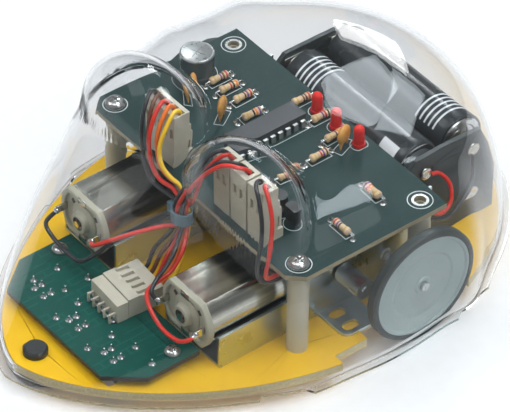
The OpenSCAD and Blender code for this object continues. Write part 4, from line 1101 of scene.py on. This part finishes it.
def make_materials():
    """Looks of every CAD piece that keeps its own mesh."""
    paint(foam_board(), "base_plate")
    paint(circuit_board("circuit_board", (0.014, 0.038, 0.036), (0.018, 0.044, 0.042),
                        (0.34, 0.30, 0.20), 330, 0.46), "main_board")
    paint(circuit_board("green_board", (0.003, 0.072, 0.054), (0.006, 0.096, 0.072),
                        (0.05, 0.045, 0.035), 300, 0.44), "sensor_board")
    paint(chip_body(), "control_chip")
    connectors = ["sensor_header", "sensor_plug", "supply_headers", "supply_plugs",
                  "sensor_board_header", "sensor_board_plug"]
    paint(material("cream_nylon", (0.50, 0.47, 0.37), 0.36, vary=0.05, grain=1100, bump=0.04),
          *connectors, "sensor_spacers")
    paint(material("nylon_standoff", (0.50, 0.48, 0.37), 0.34, vary=0.05, grain=500, bump=0.03),
          "standoffs")
    paint(material("black_plastic", (0.022, 0.026, 0.026), 0.4, vary=0.12, bump=0.05),
          "front_skid", "rear_skid", "switch_body", "transistors")
    paint(material("holder_plastic", (0.020, 0.030, 0.030), 0.36, vary=0.08, grain=400, bump=0.02),
          "battery_holder")
    paint(material("screw_steel", (0.62, 0.62, 0.6), 0.2, metal=1, vary=0.08, grain=2200,
                   bump=0.05), "board_screws", "underside_screws")
    paint(material("shaft_steel", (0.58, 0.60, 0.6), 0.22, metal=1, vary=0.05, grain=900,
                   stretch=(0.1, 1, 1), bump=0.03), *pairs("axle", "idler_shaft", "motor_rotor"))
    paint(motor_can_metal(), "motor_cans")
    paint(frame_metal(), *pairs("gear_frame"))
    paint(material("gear_nylon", (0.50, 0.52, 0.48), 0.34, vary=0.05, grain=900, bump=0.03),
          *pairs("axle_gear", "idler_gear"), "shaft_bushes")
    paint(material("brass", (0.62, 0.45, 0.2), 0.24, metal=1, vary=0.08, grain=1800),
          *pairs("motor_pinion"))
    paint(material("contact_plate", (0.66, 0.64, 0.58), 0.2, metal=1, vary=0.08, grain=1500),
          "battery_contacts", "motor_terminals")
    paint(tyre_material(), *pairs("tyre"))
    paint(wheel_material(), *pairs("wheel_disc"))
    paint(material("tie_blue", (0.09, 0.17, 0.21), 0.3, vary=0.06, grain=900, bump=0.03),
          "cable_tie")
    paint(material("switch_slider_red", (0.5, 0.04, 0.03), 0.35, vary=0.06, grain=900),
          "switch_slider")
    paint(solder_metal(), "solder_joints")
    paint(material("emitter_lens", (0.12, 0.10, 0.20), 0.1, vary=0.04, transmission_weight=0.6),
          "infrared_emitters")
    paint(material("dark_lens", (0.015, 0.014, 0.018), 0.1, vary=0.05), "phototransistors")
    soften(0.1, "front_skid", "rear_skid", "control_chip", "transistors", *connectors, "cable_tie",
           "switch_body", "switch_slider", "board_screws", "underside_screws")
    soften(0.08, *pairs("gear_frame"), "motor_terminals", "battery_contacts", "sensor_board",
           "main_board")
    soften(0.18, "base_plate", "battery_holder", "motor_cans", "standoffs",
           *pairs("wheel_disc", "tyre", "axle"), "sensor_spacers", "shaft_bushes")


# -------- the scene

make_camera()
make_light()
make_floor()
make_materials()
make_wires()
make_resistors()
make_disc_capacitors()
make_can_capacitor()
make_leds()
make_printing()
make_cells()
make_springs()
make_pins()
make_motor_caps()
make_dome()

bpy.context.view_layer.update()
